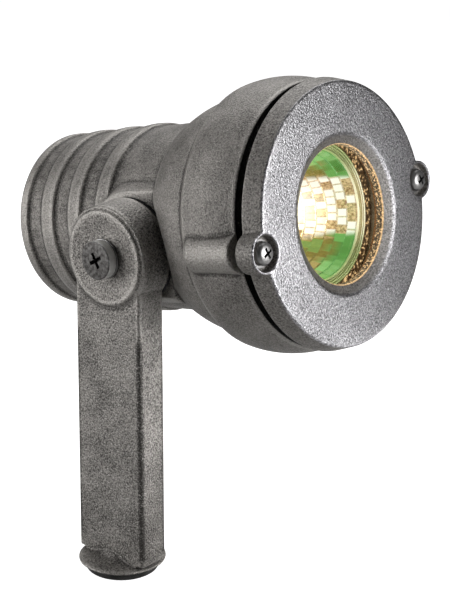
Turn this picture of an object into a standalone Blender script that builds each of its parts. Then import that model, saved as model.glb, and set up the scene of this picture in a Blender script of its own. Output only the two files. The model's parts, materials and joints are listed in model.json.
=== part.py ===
"""Underwater pond light: a cast housing with a clamped bezel and a dichroic lamp, on one flat arm.

Lengths below are in millimetres and become metres where a mesh is made.
The row's origin is the centre of the foot's underside, +Z is up, and the lamp looks along -Y.
"""

import math

import bmesh
import bpy
from mathutils import Matrix, Vector

MM = 0.001
GAP = 0.3
SEGMENTS = 44
INNER_SEGMENTS = 30

# Pose of the lamp on its arm
PIVOT_HEIGHT = 118.3
PIVOT_OFFSET = 40.7
TILT_AT_REST = math.radians(10.4)
AXIS_ABOVE_PIVOT = 5.5

# Housing, measured forward from the pivot along the lamp's axis
TAIL_END = -59.3
TAIL_RADIUS = 31.4
NECK_FRONT = 12.6
NECK_RADIUS = 34.2
RIB_PITCH = 14.6
RIB_WIDTH = 7.7
RIB_HEIGHT = 1.1
RIB_FIRST = -13.8
RIB_COUNT = 4
GLAND_HOLE = 6.3
STEP_REAR_RADIUS = 36.2
STEP_FRONT = 32.6
STEP_RADIUS = 42.6
BELL_REAR = 36.3
BELL_REAR_RADIUS = 46.2
RIM_FRONT = 58.6
RIM_RADIUS = 45.4
LENS_BORE = 38.0
LENS_SEAT = 54.2
LAMP_LEDGE = 50.3
CAVITY_FRONT_RADIUS = 31.6
CAVITY_MID_RADIUS = 29.5
CAVITY_REAR_RADIUS = 27.8
CAVITY_STEP = 17.0
CAVITY_END = -54.3
PAD_FACE = 32.9
PAD_ABOVE = 20.5
PAD_BELOW = 17.0
PAD_FRONT = 16.0
PAD_SLOPE = 3.7
PAD_SPREAD = 2.5
PAD_ROOT = 24.0
PAD_RELIEF = 21.5
LUG_RADIUS = 6.7
LUG_REAR = 37.0
LUG_HOLE_RADIUS = 2.05
PIVOT_BOSS_RADIUS = 6.5
PIVOT_BOSS_END = 20.5
PIVOT_TAP_END = 24.0

# Bezel, its two screws and the glass
BEZEL_REAR = 61.7
BEZEL_FRONT = 69.2
BEZEL_REAR_RADIUS = 46.15
BEZEL_RADIUS = 44.45
BEZEL_BORE = 23.45
BEZEL_FLARE = 27.45
BEZEL_FLARE_DEPTH = 2.55
BEZEL_RECESS = 63.8
EAR_RADIUS = 6.8
EAR_CIRCLE = 44.12
EAR_ANGLE = math.radians(5.5)
EAR_POCKET_RADIUS = 5.9
EAR_POCKET_DEPTH = 3.5
EAR_HOLE_RADIUS = 2.3
SCREW_HEAD_RADIUS = 4.3
SCREW_HEAD_HEIGHT = 3.1
SCREW_SHANK_RADIUS = 1.75
LENS_RADIUS = 37.6
LENS_REAR = 56.8
LENS_THICKNESS = 5.0
GASKET_THICKNESS = 1.4
GASKET_BORE = 24.6
GASKET_RADIUS = 37.2
O_RING_CIRCLE = 34.6
O_RING_CORD = 1.1

# Lamp
LAMP_FRONT = 55.3
LAMP_RADIUS = 25.2
LAMP_MOUTH = 22.2
LAMP_RIM_DEPTH = 1.5
LAMP_NECK = 27.0
LAMP_THROAT = 6.0
RETAINER_BORE = 22.9
RETAINER_RADIUS = 31.2
CAPSULE_RADIUS = 5.0
CAPSULE_BORE = 4.2
CAPSULE_END = 21.0
FILAMENT_LEG = 2.0
FILAMENT_TOP = 38.0
LAMP_BASE_TOP = 23.2
LAMP_BASE_END = 9.5
PIN_SPACING = 5.33
PIN_RADIUS = 0.75
SOCKET_FRONT = 3.4
SOCKET_REAR = -12.0
CONTACT_RADIUS = 1.6
BRACKET_THICKNESS = 1.2
BRACKET_HALF_WIDTH = 9.0
BRACKET_HALF_LENGTH = 25.0
POST_RADIUS = 3.6
POST_OFFSET = 20.0
POST_TAP_RADIUS = 1.55
LEAD_END = -34.0
LEAD_SPREAD = 9.0
LEAD_RADIUS = 0.95

# Cable gland
GLAND_FLATS = 17.0
GLAND_NUT_FLATS = 18.0
GLAND_BARREL_RADIUS = 7.2
GLAND_BORE = 4.4
GLAND_WASHER_THICKNESS = 1.2

# Arm, pivot and foot, measured from the pivot
ARM_INNER = 34.5
ARM_OUTER = 46.9
HEAD_OUTER = 48.2
HEAD_RADIUS = 18.0
HEAD_INNER_RADIUS = 18.8
ARM_HALF_TOP = 14.9
ARM_HALF_FOOT = 15.6
ARM_BOTTOM = -112.6
ARM_EDGE = 1.6
DISH_RADIUS = 15.6
DISH_DEPTH = 0.8
COLLAR_RADIUS = 15.9
COLLAR_BOTTOM = -114.8
COLLAR_SHOULDER = -113.2
COLLAR_TOP = -112.0
BUSH_RADIUS = 13.4
BUSH_TOP = -115.6
SPIGOT_RADIUS = 8.0
SPIGOT_TOP = -113.4
BOLT_HOLE_RADIUS = 4.3
BOLT_TAP_RADIUS = 3.4
BOLT_THREAD_TOP = -88.0
PIVOT_HOLE_RADIUS = 3.3
PIVOT_SHANK_RADIUS = 3.0
PIVOT_SHANK_END = 25.0
PIVOT_HEAD_RADIUS = 6.7
PIVOT_HEAD_HEIGHT = 3.5
PIVOT_WASHER_RADIUS = 7.4
FRICTION_RADIUS = 19.0

AWAY_FROM_LAMP = Matrix.Rotation(math.radians(-90), 4, "Y")


def clear_scene():
    for obj in list(bpy.data.objects):
        bpy.data.objects.remove(obj, do_unlink=True)


def finish(name, colour, roughness, metallic, alpha=1.0):
    """A Principled material."""
    made = bpy.data.materials.new(name)
    made.use_nodes = True
    shader = made.node_tree.nodes["Principled BSDF"]
    shader.inputs["Base Color"].default_value = (*colour, 1.0)
    shader.inputs["Roughness"].default_value = roughness
    shader.inputs["Metallic"].default_value = metallic
    shader.inputs["Alpha"].default_value = alpha
    return made


def empty(name, location, rotation=(0, 0, 0), parent=None):
    made = bpy.data.objects.new(name, None)
    bpy.context.scene.collection.objects.link(made)
    made.location = Vector(location) * MM
    made.rotation_euler = rotation
    made.parent = parent
    return made


def solid(name, bm, parent, material=None, turn=None):
    """Closes a bmesh drawn in millimetres into an object in metres."""
    bmesh.ops.remove_doubles(bm, verts=bm.verts, dist=1e-4)
    bmesh.ops.recalc_face_normals(bm, faces=bm.faces)
    mesh = bpy.data.meshes.new(name)
    bm.to_mesh(mesh)
    bm.free()
    if turn:
        mesh.transform(turn)
    mesh.transform(Matrix.Scale(MM, 4))
    mesh.shade_smooth()
    mesh.set_sharp_from_angle(angle=math.radians(32))
    made = bpy.data.objects.new(name, mesh)
    bpy.context.scene.collection.objects.link(made)
    made.parent = parent
    if material:
        mesh.materials.append(material)
    return made


def turned_mesh(outline, segments=SEGMENTS, centre=(0, 0)):
    """A closed outline of (radius, height) points spun about local Z."""
    bm = bmesh.new()
    x, y = centre
    verts = [bm.verts.new((x + radius, y, height)) for radius, height in outline]
    edges = [bm.edges.new((verts[i - 1], verts[i])) for i in range(len(verts))]
    bmesh.ops.spin(bm, geom=verts + edges, cent=(x, y, 0), axis=(0, 0, 1),
                   angle=math.tau, steps=segments, use_merge=True)
    return bm


def turned(name, outline, parent, material=None, segments=SEGMENTS, centre=(0, 0), turn=None):
    return solid(name, turned_mesh(outline, segments, centre), parent, material, turn)


def rod_outline(radius, low, high):
    return [(0, low), (radius, low), (radius, high), (0, high)]


def ring_outline(inner, outer, low, high):
    return [(inner, low), (outer, low), (outer, high), (inner, high)]


def box(name, low, high, parent, material=None, edge=0.0):
    """A box between two corners, with rounded edges if an edge radius is given."""
    bm = bmesh.new()
    bmesh.ops.create_cube(bm, size=1.0)
    for vert in bm.verts:
        vert.co = [low[i] + (vert.co[i] + 0.5) * (high[i] - low[i]) for i in range(3)]
    if edge:
        bmesh.ops.bevel(bm, geom=bm.edges[:], offset=edge, segments=2, affect="EDGES", profile=0.5)
    return solid(name, bm, parent, material)


def prism(name, corners, low, high, parent, material=None):
    """A flat outline of (x, y) corners extruded along local Z."""
    bm = bmesh.new()
    face = bm.faces.new([bm.verts.new((x, y, low)) for x, y in corners])
    raised = bmesh.ops.extrude_face_region(bm, geom=[face])
    for item in raised["geom"]:
        if isinstance(item, bmesh.types.BMVert):
            item.co.z = high
    return solid(name, bm, parent, material)


def combine(target, tool, operation):
    """Joins or cuts with a hidden tool object."""
    tool.hide_render = True
    tool.display_type = "WIRE"
    modifier = target.modifiers.new(f"{operation.lower()} {tool.name}", "BOOLEAN")
    modifier.operation = operation
    modifier.solver = "EXACT"
    modifier.object = tool


def join(target, tool):
    combine(target, tool, "UNION")


def cut(target, tool):
    combine(target, tool, "DIFFERENCE")


def arc(start, end, rise, count):
    """Points after start up to end on the circular arc that stands this far off its chord."""
    chord = math.dist(start, end)
    radius = (chord * chord / 4 + rise * rise) / (2 * rise)
    half = math.asin(chord / 2 / radius)
    along = ((end[0] - start[0]) / chord, (end[1] - start[1]) / chord)
    points = []
    for i in range(1, count + 1):
        angle = half * (2 * i / count - 1)
        forward = radius * math.sin(angle) + chord / 2
        side = radius * math.cos(angle) - (radius - rise)
        points.append((start[0] + along[0] * forward + along[1] * side,
                       start[1] + along[1] * forward - along[0] * side))
    return points


def base_radius(s):
    """The cast taper under the ribs, from the tail to the front of the neck."""
    share = (s - TAIL_END) / (NECK_FRONT - TAIL_END)
    return TAIL_RADIUS + (NECK_RADIUS - TAIL_RADIUS) * share


def ribbed_outline():
    """The ribbed tail from its rear edge to the front of the neck."""
    ramp = 0.9
    points = []
    for k in reversed(range(RIB_COUNT)):
        middle = RIB_FIRST - k * RIB_PITCH
        rear = middle - RIB_WIDTH / 2
        front = middle + RIB_WIDTH / 2
        if rear < TAIL_END:
            edge = 2.4
            crest = base_radius(TAIL_END) + RIB_HEIGHT
            points += [(crest - edge, TAIL_END)]
            points += arc((crest - edge, TAIL_END), (crest, TAIL_END + edge), edge * 0.293, 3)
        else:
            points += [(base_radius(rear), rear), (base_radius(rear) + RIB_HEIGHT, rear + ramp)]
            points += [(base_radius(middle) + RIB_HEIGHT + 0.25, middle)]
        points += [(base_radius(front) + RIB_HEIGHT, front - ramp), (base_radius(front), front)]
    points += [(NECK_RADIUS, NECK_FRONT)]
    return points


def housing_outline():
    outside = ribbed_outline()
    step_rear = (STEP_REAR_RADIUS, NECK_FRONT + 0.8)
    outside += [step_rear] + arc(step_rear, (STEP_RADIUS, STEP_FRONT), 1.1, 5)
    outside += [(BELL_REAR_RADIUS - 1.2, BELL_REAR - 1.5), (BELL_REAR_RADIUS, BELL_REAR)]
    outside += arc((BELL_REAR_RADIUS, BELL_REAR), (RIM_RADIUS, RIM_FRONT - 0.6), 1.6, 6)
    outside += [(RIM_RADIUS - 0.6, RIM_FRONT)]
    inside = [
        (LENS_BORE, RIM_FRONT), (LENS_BORE, LENS_SEAT),
        (CAVITY_FRONT_RADIUS, LENS_SEAT), (CAVITY_FRONT_RADIUS, LAMP_LEDGE),
        (CAVITY_MID_RADIUS, LAMP_LEDGE), (CAVITY_MID_RADIUS, CAVITY_STEP + 3),
        (CAVITY_REAR_RADIUS, CAVITY_STEP), (CAVITY_REAR_RADIUS, CAVITY_END),
        (GLAND_HOLE, CAVITY_END), (GLAND_HOLE, TAIL_END),
    ]
    return outside + inside


def ear_centres():
    """The two screw places, left of the lamp first."""
    x = EAR_CIRCLE * math.cos(EAR_ANGLE)
    y = EAR_CIRCLE * math.sin(EAR_ANGLE)
    return {"left": (-x, -y), "right": (x, y)}


def lug_outline():
    return [(0, LUG_REAR), (4.4, LUG_REAR + 0.5), (6.1, LUG_REAR + 2.2), (LUG_RADIUS, LUG_REAR + 4.6),
            (LUG_RADIUS, RIM_FRONT), (0, RIM_FRONT)]


def make_housing(head, lamp, cast):
    housing = turned("housing", housing_outline(), lamp, cast)
    pad_side(housing, head)
    for side, centre in ear_centres().items():
        join(housing, turned(f"tool_lug_{side}", lug_outline(), lamp, segments=24, centre=centre))
    join_inner_bosses(housing, head, lamp)
    cut(housing, turned("tool_lens_bore", rod_outline(LENS_BORE, LENS_SEAT, RIM_FRONT + 5), lamp))
    for side, centre in ear_centres().items():
        hole = rod_outline(LUG_HOLE_RADIUS, RIM_FRONT - 12, RIM_FRONT + 1)
        cut(housing, turned(f"tool_lug_hole_{side}", hole, lamp, segments=12, centre=centre))
    return housing


def pad_outline(spread, x):
    """One layer of the pad: rounded behind the pivot, square towards the bell."""
    above = PAD_ABOVE + spread
    below = PAD_BELOW + spread
    points = [(x, above, PAD_FRONT), (x, -below, PAD_FRONT)]
    for k in range(17):
        angle = math.pi * (0.5 + k / 16)
        reach = above if k <= 8 else below
        points.append((x, math.sin(angle) * reach, math.cos(angle) * above))
    return points


def pad_side(housing, head):
    """The flat pad that the arm's head turns on, and the swing relief cut into the bell round it."""
    bm = bmesh.new()
    layers = pad_outline(0.0, -PAD_FACE) + pad_outline(PAD_SPREAD, PAD_SLOPE - PAD_FACE)
    for point in layers + pad_outline(PAD_SPREAD, -PAD_ROOT):
        bm.verts.new(point)
    bmesh.ops.convex_hull(bm, input=bm.verts[:])
    join(housing, solid("tool_pad", bm, head))
    relief = rod_outline(PAD_RELIEF, PAD_FACE + GAP, PAD_FACE + 25)
    cut(housing, turned("tool_relief", relief, head, turn=AWAY_FROM_LAMP))


def join_inner_bosses(housing, head, lamp):
    """The thick places inside the casting that hold the pivot screw and the bracket screws."""
    boss = rod_outline(PIVOT_BOSS_RADIUS, PIVOT_BOSS_END, PAD_FACE - 1.5)
    join(housing, turned("tool_pivot_boss", boss, head, segments=20, turn=AWAY_FROM_LAMP))
    for name, sign in (("a", -1), ("b", 1)):
        centre = (0, sign * POST_OFFSET)
        post = rod_outline(POST_RADIUS, CAVITY_END - 1, SOCKET_REAR - BRACKET_THICKNESS - 2 * GAP)
        join(housing, turned(f"tool_post_{name}", post, lamp, segments=14, centre=centre))
    for name, sign in (("a", -1), ("b", 1)):
        centre = (0, sign * POST_OFFSET)
        hole = rod_outline(POST_TAP_RADIUS, SOCKET_REAR - 12, SOCKET_REAR + 2)
        cut(housing, turned(f"tool_post_hole_{name}", hole, lamp, segments=10, centre=centre))
    hole = rod_outline(PIVOT_HOLE_RADIUS, PIVOT_TAP_END, PAD_FACE + 2)
    cut(housing, turned("tool_pivot_hole", hole, head, segments=16, turn=AWAY_FROM_LAMP))


def make_bezel(lamp, bright):
    outline = [
        (BEZEL_REAR_RADIUS, BEZEL_REAR), (BEZEL_RADIUS + 0.2, BEZEL_FRONT - 0.8),
        (BEZEL_RADIUS - 0.6, BEZEL_FRONT), (BEZEL_FLARE, BEZEL_FRONT),
        (BEZEL_BORE, BEZEL_FRONT - BEZEL_FLARE_DEPTH), (BEZEL_BORE, BEZEL_RECESS),
        (LENS_BORE, BEZEL_RECESS), (LENS_BORE, BEZEL_REAR),
    ]
    bezel = turned("bezel", outline, lamp, bright, segments=56)
    for side, centre in ear_centres().items():
        ear = [(0, BEZEL_REAR), (EAR_RADIUS, BEZEL_REAR), (EAR_RADIUS, BEZEL_FRONT - 0.6),
               (EAR_RADIUS - 0.6, BEZEL_FRONT), (0, BEZEL_FRONT)]
        join(bezel, turned(f"tool_ear_{side}", ear, lamp, segments=24, centre=centre))
    recess = rod_outline(LENS_BORE, BEZEL_REAR - 5, BEZEL_RECESS)
    cut(bezel, turned("tool_bezel_recess", recess, lamp, segments=56))
    for side, centre in ear_centres().items():
        pocket = rod_outline(EAR_POCKET_RADIUS, BEZEL_FRONT - EAR_POCKET_DEPTH, BEZEL_FRONT + 2)
        cut(bezel, turned(f"tool_pocket_{side}", pocket, lamp, segments=20, centre=centre))
        hole = rod_outline(EAR_HOLE_RADIUS, BEZEL_REAR - 1, BEZEL_FRONT)
        cut(bezel, turned(f"tool_bezel_hole_{side}", hole, lamp, segments=12, centre=centre))
    return bezel


def cross_recess(screw, parent, centre, top, half, depth, turn=None):
    """Two crossed slots cut into a screw head."""
    for name, long_axis in (("x", 0), ("y", 1)):
        reach = [half, half]
        reach[1 - long_axis] = half * 0.24
        bm = bmesh.new()
        bmesh.ops.create_cube(bm, size=1.0)
        for vert in bm.verts:
            taper = 1.0 if vert.co.z > 0 else 0.45
            vert.co.x = centre[0] + 2 * vert.co.x * reach[0] * taper
            vert.co.y = centre[1] + 2 * vert.co.y * reach[1] * taper
            vert.co.z = top + 0.5 if vert.co.z > 0 else top - depth
        cut(screw, solid(f"tool_{screw.name}_{name}", bm, parent, turn=turn))


def make_bezel_screws(lamp, steel):
    washer_low = BEZEL_FRONT - EAR_POCKET_DEPTH + GAP / 2
    washer_high = washer_low + 0.7
    low = washer_high + GAP / 2
    high = low + SCREW_HEAD_HEIGHT
    end = RIM_FRONT - 10.5
    outline = [
        (0, end), (SCREW_SHANK_RADIUS - 0.35, end), (SCREW_SHANK_RADIUS, end + 0.6),
        (SCREW_SHANK_RADIUS, low),
        (SCREW_HEAD_RADIUS, low), (SCREW_HEAD_RADIUS, high - 1.5), (SCREW_HEAD_RADIUS - 0.8, high - 0.5),
        (2.0, high - 0.05), (0, high),
    ]
    for side, centre in ear_centres().items():
        washer = ring_outline(2.1, 4.7, washer_low, washer_high)
        turned(f"bezel_washer_{side}", washer, lamp, steel, segments=24, centre=centre)
        screw = turned(f"bezel_screw_{side}", outline, lamp, steel, segments=24, centre=centre)
        cross_recess(screw, lamp, centre, high, 2.3, 1.9)


def make_glass(lamp, glass, rubber):
    front = LENS_REAR + LENS_THICKNESS
    edge = 0.5
    outline = [(0, LENS_REAR), (LENS_RADIUS - edge, LENS_REAR), (LENS_RADIUS, LENS_REAR + edge),
               (LENS_RADIUS, front - edge), (LENS_RADIUS - edge, front), (0, front)]
    turned("lens", outline, lamp, glass, INNER_SEGMENTS)
    low = front + GAP
    gasket = ring_outline(GASKET_BORE, GASKET_RADIUS, low, low + GASKET_THICKNESS)
    turned("lens_front_gasket", gasket, lamp, rubber, INNER_SEGMENTS)
    middle = (LENS_SEAT + LENS_REAR) / 2
    ring = []
    for k in range(8):
        angle = math.tau * k / 8
        ring.append((O_RING_CIRCLE + O_RING_CORD * math.cos(angle), middle + O_RING_CORD * math.sin(angle)))
    turned("lens_rear_o_ring", ring, lamp, rubber, INNER_SEGMENTS)


def reflector_radius(s, mouth, throat):
    """Half width of the lamp's bowl, opening as a square root from its throat."""
    share = (s - LAMP_NECK) / (LAMP_FRONT - LAMP_RIM_DEPTH - LAMP_NECK)
    return throat + (mouth - throat) * math.sqrt(max(share, 0.0))


def bowl_outline(shelf):
    """The lamp's glass bowl: neck, flank and rim outside, the reflecting curve inside."""
    wall = 1.6
    slip = 1.2
    span = LAMP_FRONT - LAMP_RIM_DEPTH - LAMP_NECK
    count = 8
    heights = [LAMP_NECK + span * (k / count) ** 1.5 for k in range(count + 1)]
    outside = []
    for s in heights[1:-1]:
        outside.append((reflector_radius(s - slip, LAMP_MOUTH + 1.4, LAMP_THROAT + wall), s - slip))
    inside = [(reflector_radius(s, LAMP_MOUTH - 0.3, LAMP_THROAT), s) for s in heights]
    neck = LAMP_THROAT + 2.0
    rim_rear = LAMP_FRONT - 2.2
    outline = [(LAMP_THROAT, LAMP_BASE_TOP + GAP), (neck, LAMP_BASE_TOP + GAP), (neck, LAMP_NECK - slip)]
    outline += [point for point in outside if point[1] < shelf - 1.5 and point[0] > neck + 0.2]
    outline += [(LAMP_MOUTH + 0.1, rim_rear - 0.9), (LAMP_RADIUS, rim_rear)]
    outline += [(LAMP_RADIUS, LAMP_FRONT), (LAMP_MOUTH, LAMP_FRONT)]
    return outline + inside[::-1]


def make_lamp(lamp, steel, coated, quartz, hot, ceramic):
    shelf = LAMP_LEDGE + GAP
    lip = RETAINER_BORE + 3.3
    retainer = [(RETAINER_BORE, shelf), (RETAINER_RADIUS, shelf), (RETAINER_RADIUS, shelf + 1.4),
                (lip, shelf + 1.4), (lip, shelf + 1.0), (RETAINER_BORE, shelf + 1.0)]
    turned("lamp_retainer", retainer, lamp, steel, INNER_SEGMENTS)
    turned("lamp_reflector", bowl_outline(shelf), lamp, coated, 36)
    dome = [(CAPSULE_RADIUS, 41.0), (4.5, 43.0), (3.2, 44.4), (1.5, 45.1), (0, 45.3)]
    hollow = [(0, 44.4), (1.3, 44.2), (2.8, 43.5), (3.9, 42.4), (CAPSULE_BORE, 41.0),
              (CAPSULE_BORE, CAPSULE_END)]
    turned("lamp_capsule", [(CAPSULE_RADIUS, CAPSULE_END)] + dome + hollow, lamp, quartz, segments=20)
    make_filament(lamp, hot)
    make_lamp_base(lamp, ceramic, steel)


def tube(name, points, radius, parent, material, sides=2):
    """A round wire through the points, with closed ends."""
    curve = bpy.data.curves.new(name, "CURVE")
    curve.dimensions = "3D"
    curve.bevel_depth = radius * MM
    curve.bevel_resolution = sides
    curve.use_fill_caps = True
    spline = curve.splines.new("POLY")
    spline.points.add(len(points) - 1)
    for point, place in zip(spline.points, points):
        point.co = (*(Vector(place) * MM), 1.0)
    curve.materials.append(material)
    made = bpy.data.objects.new(name, curve)
    bpy.context.scene.collection.objects.link(made)
    made.parent = parent
    return made


def make_filament(lamp, hot):
    leg = FILAMENT_LEG
    top = FILAMENT_TOP
    foot = CAPSULE_END + 1.0
    half = [(leg, 0, foot), (leg, 0, top - 1.2), (leg - 0.5, 0, top - 0.3), (leg - 1.2, 0, top)]
    points = [(-x, y, z) for x, y, z in half] + half[::-1]
    tube("lamp_filament", points, 0.4, lamp, hot, sides=1)


def make_lamp_base(lamp, ceramic, steel):
    base = box("lamp_base", (-8.2, -5.6, LAMP_BASE_END), (8.2, 5.6, LAMP_BASE_TOP), lamp, ceramic, edge=1.2)
    bore = rod_outline(5.3, 20.7, LAMP_BASE_TOP + 1)
    cut(base, turned("tool_capsule_bore", bore, lamp, segments=20))
    for name, sign in (("a", -1), ("b", 1)):
        centre = (sign * PIN_SPACING / 2, 0)
        hole = rod_outline(PIN_RADIUS + GAP, LAMP_BASE_END - 1, LAMP_BASE_END + 4.4)
        cut(base, turned(f"tool_pin_hole_{name}", hole, lamp, segments=10, centre=centre))
        turned(f"lamp_pin_{name}", rod_outline(PIN_RADIUS, -2.0, LAMP_BASE_END + 4.0), lamp, steel,
               segments=10, centre=centre)


def make_socket(lamp, ceramic, brass, steel):
    low = (-8.6, -5.2, SOCKET_REAR + GAP)
    socket = box("socket_body", low, (8.6, 5.2, SOCKET_FRONT), lamp, ceramic, edge=1.0)
    for name, sign in (("a", -1), ("b", 1)):
        centre = (sign * PIN_SPACING / 2, 0)
        bore = rod_outline(CONTACT_RADIUS + 0.35, SOCKET_REAR - 1, SOCKET_FRONT + 1)
        cut(socket, turned(f"tool_contact_bore_{name}", bore, lamp, segments=12, centre=centre))
        front = SOCKET_FRONT - 1.0
        contact = [(PIN_RADIUS + GAP, -3.0), (PIN_RADIUS + GAP, front), (CONTACT_RADIUS, front),
                   (CONTACT_RADIUS, -7.5), (0, -7.5), (0, -3.0)]
        turned(f"socket_contact_{name}", contact, lamp, brass, segments=12, centre=centre)
    plate_low = SOCKET_REAR - BRACKET_THICKNESS - GAP / 2
    corner = (BRACKET_HALF_WIDTH, BRACKET_HALF_LENGTH, plate_low + BRACKET_THICKNESS)
    plate = box("socket_bracket", (-corner[0], -corner[1], plate_low), corner, lamp, steel)
    cut(plate, box("tool_lead_slot", (-6.0, -2.2, plate_low - 2), (6.0, 2.2, plate_low + 4), lamp))
    for name, sign in (("a", -1), ("b", 1)):
        centre = (0, sign * POST_OFFSET)
        hole = rod_outline(1.8, plate_low - 1, plate_low + 3)
        cut(plate, turned(f"tool_plate_hole_{name}", hole, lamp, segments=12, centre=centre))
        head_low = plate_low + BRACKET_THICKNESS + GAP / 2
        outline = [(0, head_low - 9), (1.25, head_low - 9), (1.25, head_low), (2.8, head_low),
                   (2.8, head_low + 1.2), (1.8, head_low + 1.9), (0, head_low + 2.0)]
        screw = turned(f"socket_screw_{name}", outline, lamp, steel, segments=14, centre=centre)
        cross_recess(screw, lamp, centre, head_low + 2.0, 1.5, 1.1)


def make_leads(lamp, sleeve, cap):
    """Two short sleeved leads from the socket, each ending in a crimp cap in the tail."""
    end = LEAD_END
    straight_to = -14.0
    count = 12
    for name, sign in (("a", -1), ("b", 1)):
        x = sign * PIN_SPACING / 2
        wide = sign * LEAD_SPREAD
        points = [(x, 0, -8.0)]
        for k in range(count + 1):
            t = k / count
            ease = t * t * (3 - 2 * t)
            bow = 3.0 * sign * math.sin(math.pi * t) ** 2
            points.append((x + (wide - x) * ease, bow, straight_to + (end - straight_to) * t))
        tube(f"lead_wire_{name}", points, LEAD_RADIUS, lamp, sleeve)
        outline = [(0, end - 12), (2.0, end - 12), (2.9, end - 10.5), (3.3, end - GAP), (1.6, end - GAP),
                   (0, end - GAP)]
        turned(f"crimp_cap_{name}", outline, lamp, cap, segments=14, centre=(wide, 0))


def hexagon(across_flats):
    corner = across_flats / math.sqrt(3)
    return [(corner * math.cos(math.tau * k / 6), corner * math.sin(math.tau * k / 6)) for k in range(6)]


def make_gland(lamp, brass, rubber):
    seat = TAIL_END - GAP
    washer_rear = seat - GLAND_WASHER_THICKNESS
    turned("gland_washer", ring_outline(6.4, 9.0, washer_rear, seat), lamp, rubber, segments=24)
    hex_high = washer_rear - GAP
    hex_low = hex_high - 4.6
    barrel_low = hex_low - 4.4
    stem = CAVITY_END + 1.0
    outline = [(5.0, barrel_low), (GLAND_BARREL_RADIUS, barrel_low), (GLAND_BARREL_RADIUS, hex_low - 0.4),
               (GLAND_BARREL_RADIUS, hex_high - 1), (6.0, hex_high - 1), (6.0, stem), (GLAND_BORE, stem),
               (GLAND_BORE, hex_high), (5.0, hex_high)]
    body = turned("gland_body", outline, lamp, brass, segments=24)
    collar = prism("tool_gland_hex", hexagon(GLAND_FLATS), hex_low, hex_high, lamp)
    cut(collar, turned("tool_gland_bore", rod_outline(6.6, hex_low - 1, hex_high + 1), lamp, segments=24))
    join(body, collar)
    sleeve = ring_outline(3.9, 4.7, barrel_low + 0.6, hex_high - 0.4)
    turned("gland_sleeve", sleeve, lamp, rubber, segments=20)
    nut_high = hex_low - GAP
    nut_low = barrel_low - 2.6
    nut = prism("gland_nut", hexagon(GLAND_NUT_FLATS), nut_low, nut_high, lamp, brass)
    bore = rod_outline(GLAND_BARREL_RADIUS + GAP, barrel_low - GAP, nut_high + 1)
    cut(nut, turned("tool_nut_bore", bore, lamp, segments=24))
    cut(nut, turned("tool_nut_mouth", rod_outline(4.2, nut_low - 1, nut_high), lamp, segments=20))


def arm_bar(pivot, cast):
    """The flat bar, slightly wider at its foot, with its long edges rounded."""
    bm = bmesh.new()
    bmesh.ops.create_cube(bm, size=1.0)
    for vert in bm.verts:
        high = vert.co.z > 0
        half = ARM_HALF_TOP if high else ARM_HALF_FOOT
        vert.co.y = half if vert.co.y > 0 else -half
        vert.co.x = -ARM_INNER if vert.co.x > 0 else -ARM_OUTER
        vert.co.z = 0.0 if high else ARM_BOTTOM
    upright = [edge for edge in bm.edges if abs(edge.verts[0].co.z - edge.verts[1].co.z) > 1]
    bmesh.ops.bevel(bm, geom=upright, offset=ARM_EDGE, segments=3, affect="EDGES", profile=0.5)
    return solid("arm", bm, pivot, cast)


def make_arm(pivot, cast):
    arm = arm_bar(pivot, cast)
    edge = 1.3
    head = [(0, ARM_INNER), (HEAD_INNER_RADIUS, ARM_INNER), (HEAD_RADIUS + 0.1, HEAD_OUTER - edge),
            (HEAD_RADIUS - 0.4, HEAD_OUTER - 0.4), (HEAD_RADIUS - edge, HEAD_OUTER),
            (DISH_RADIUS, HEAD_OUTER), (DISH_RADIUS - 1.0, HEAD_OUTER - DISH_DEPTH),
            (0, HEAD_OUTER - DISH_DEPTH)]
    join(arm, turned("tool_arm_head", head, pivot, turn=AWAY_FROM_LAMP))
    middle = -PIVOT_OFFSET
    round_over = 0.7
    collar = [(0, COLLAR_BOTTOM), (COLLAR_RADIUS - round_over, COLLAR_BOTTOM),
              (COLLAR_RADIUS, COLLAR_BOTTOM + round_over), (COLLAR_RADIUS, COLLAR_SHOULDER),
              (COLLAR_RADIUS - 1.4, COLLAR_SHOULDER + 0.6), (9.5, COLLAR_TOP), (0, COLLAR_TOP)]
    join(arm, turned("tool_arm_collar", collar, pivot, centre=(middle, 0)))
    bore = rod_outline(SPIGOT_RADIUS + GAP, COLLAR_BOTTOM - 1, SPIGOT_TOP + GAP)
    cut(arm, turned("tool_spigot_bore", bore, pivot, segments=28, centre=(middle, 0)))
    thread = rod_outline(BOLT_TAP_RADIUS, SPIGOT_TOP - 1, BOLT_THREAD_TOP)
    cut(arm, turned("tool_bolt_thread", thread, pivot, segments=16, centre=(middle, 0)))
    hole = rod_outline(PIVOT_HOLE_RADIUS, ARM_INNER - 1, HEAD_OUTER + 1)
    cut(arm, turned("tool_arm_hole", hole, pivot, segments=16, turn=AWAY_FROM_LAMP))


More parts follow.
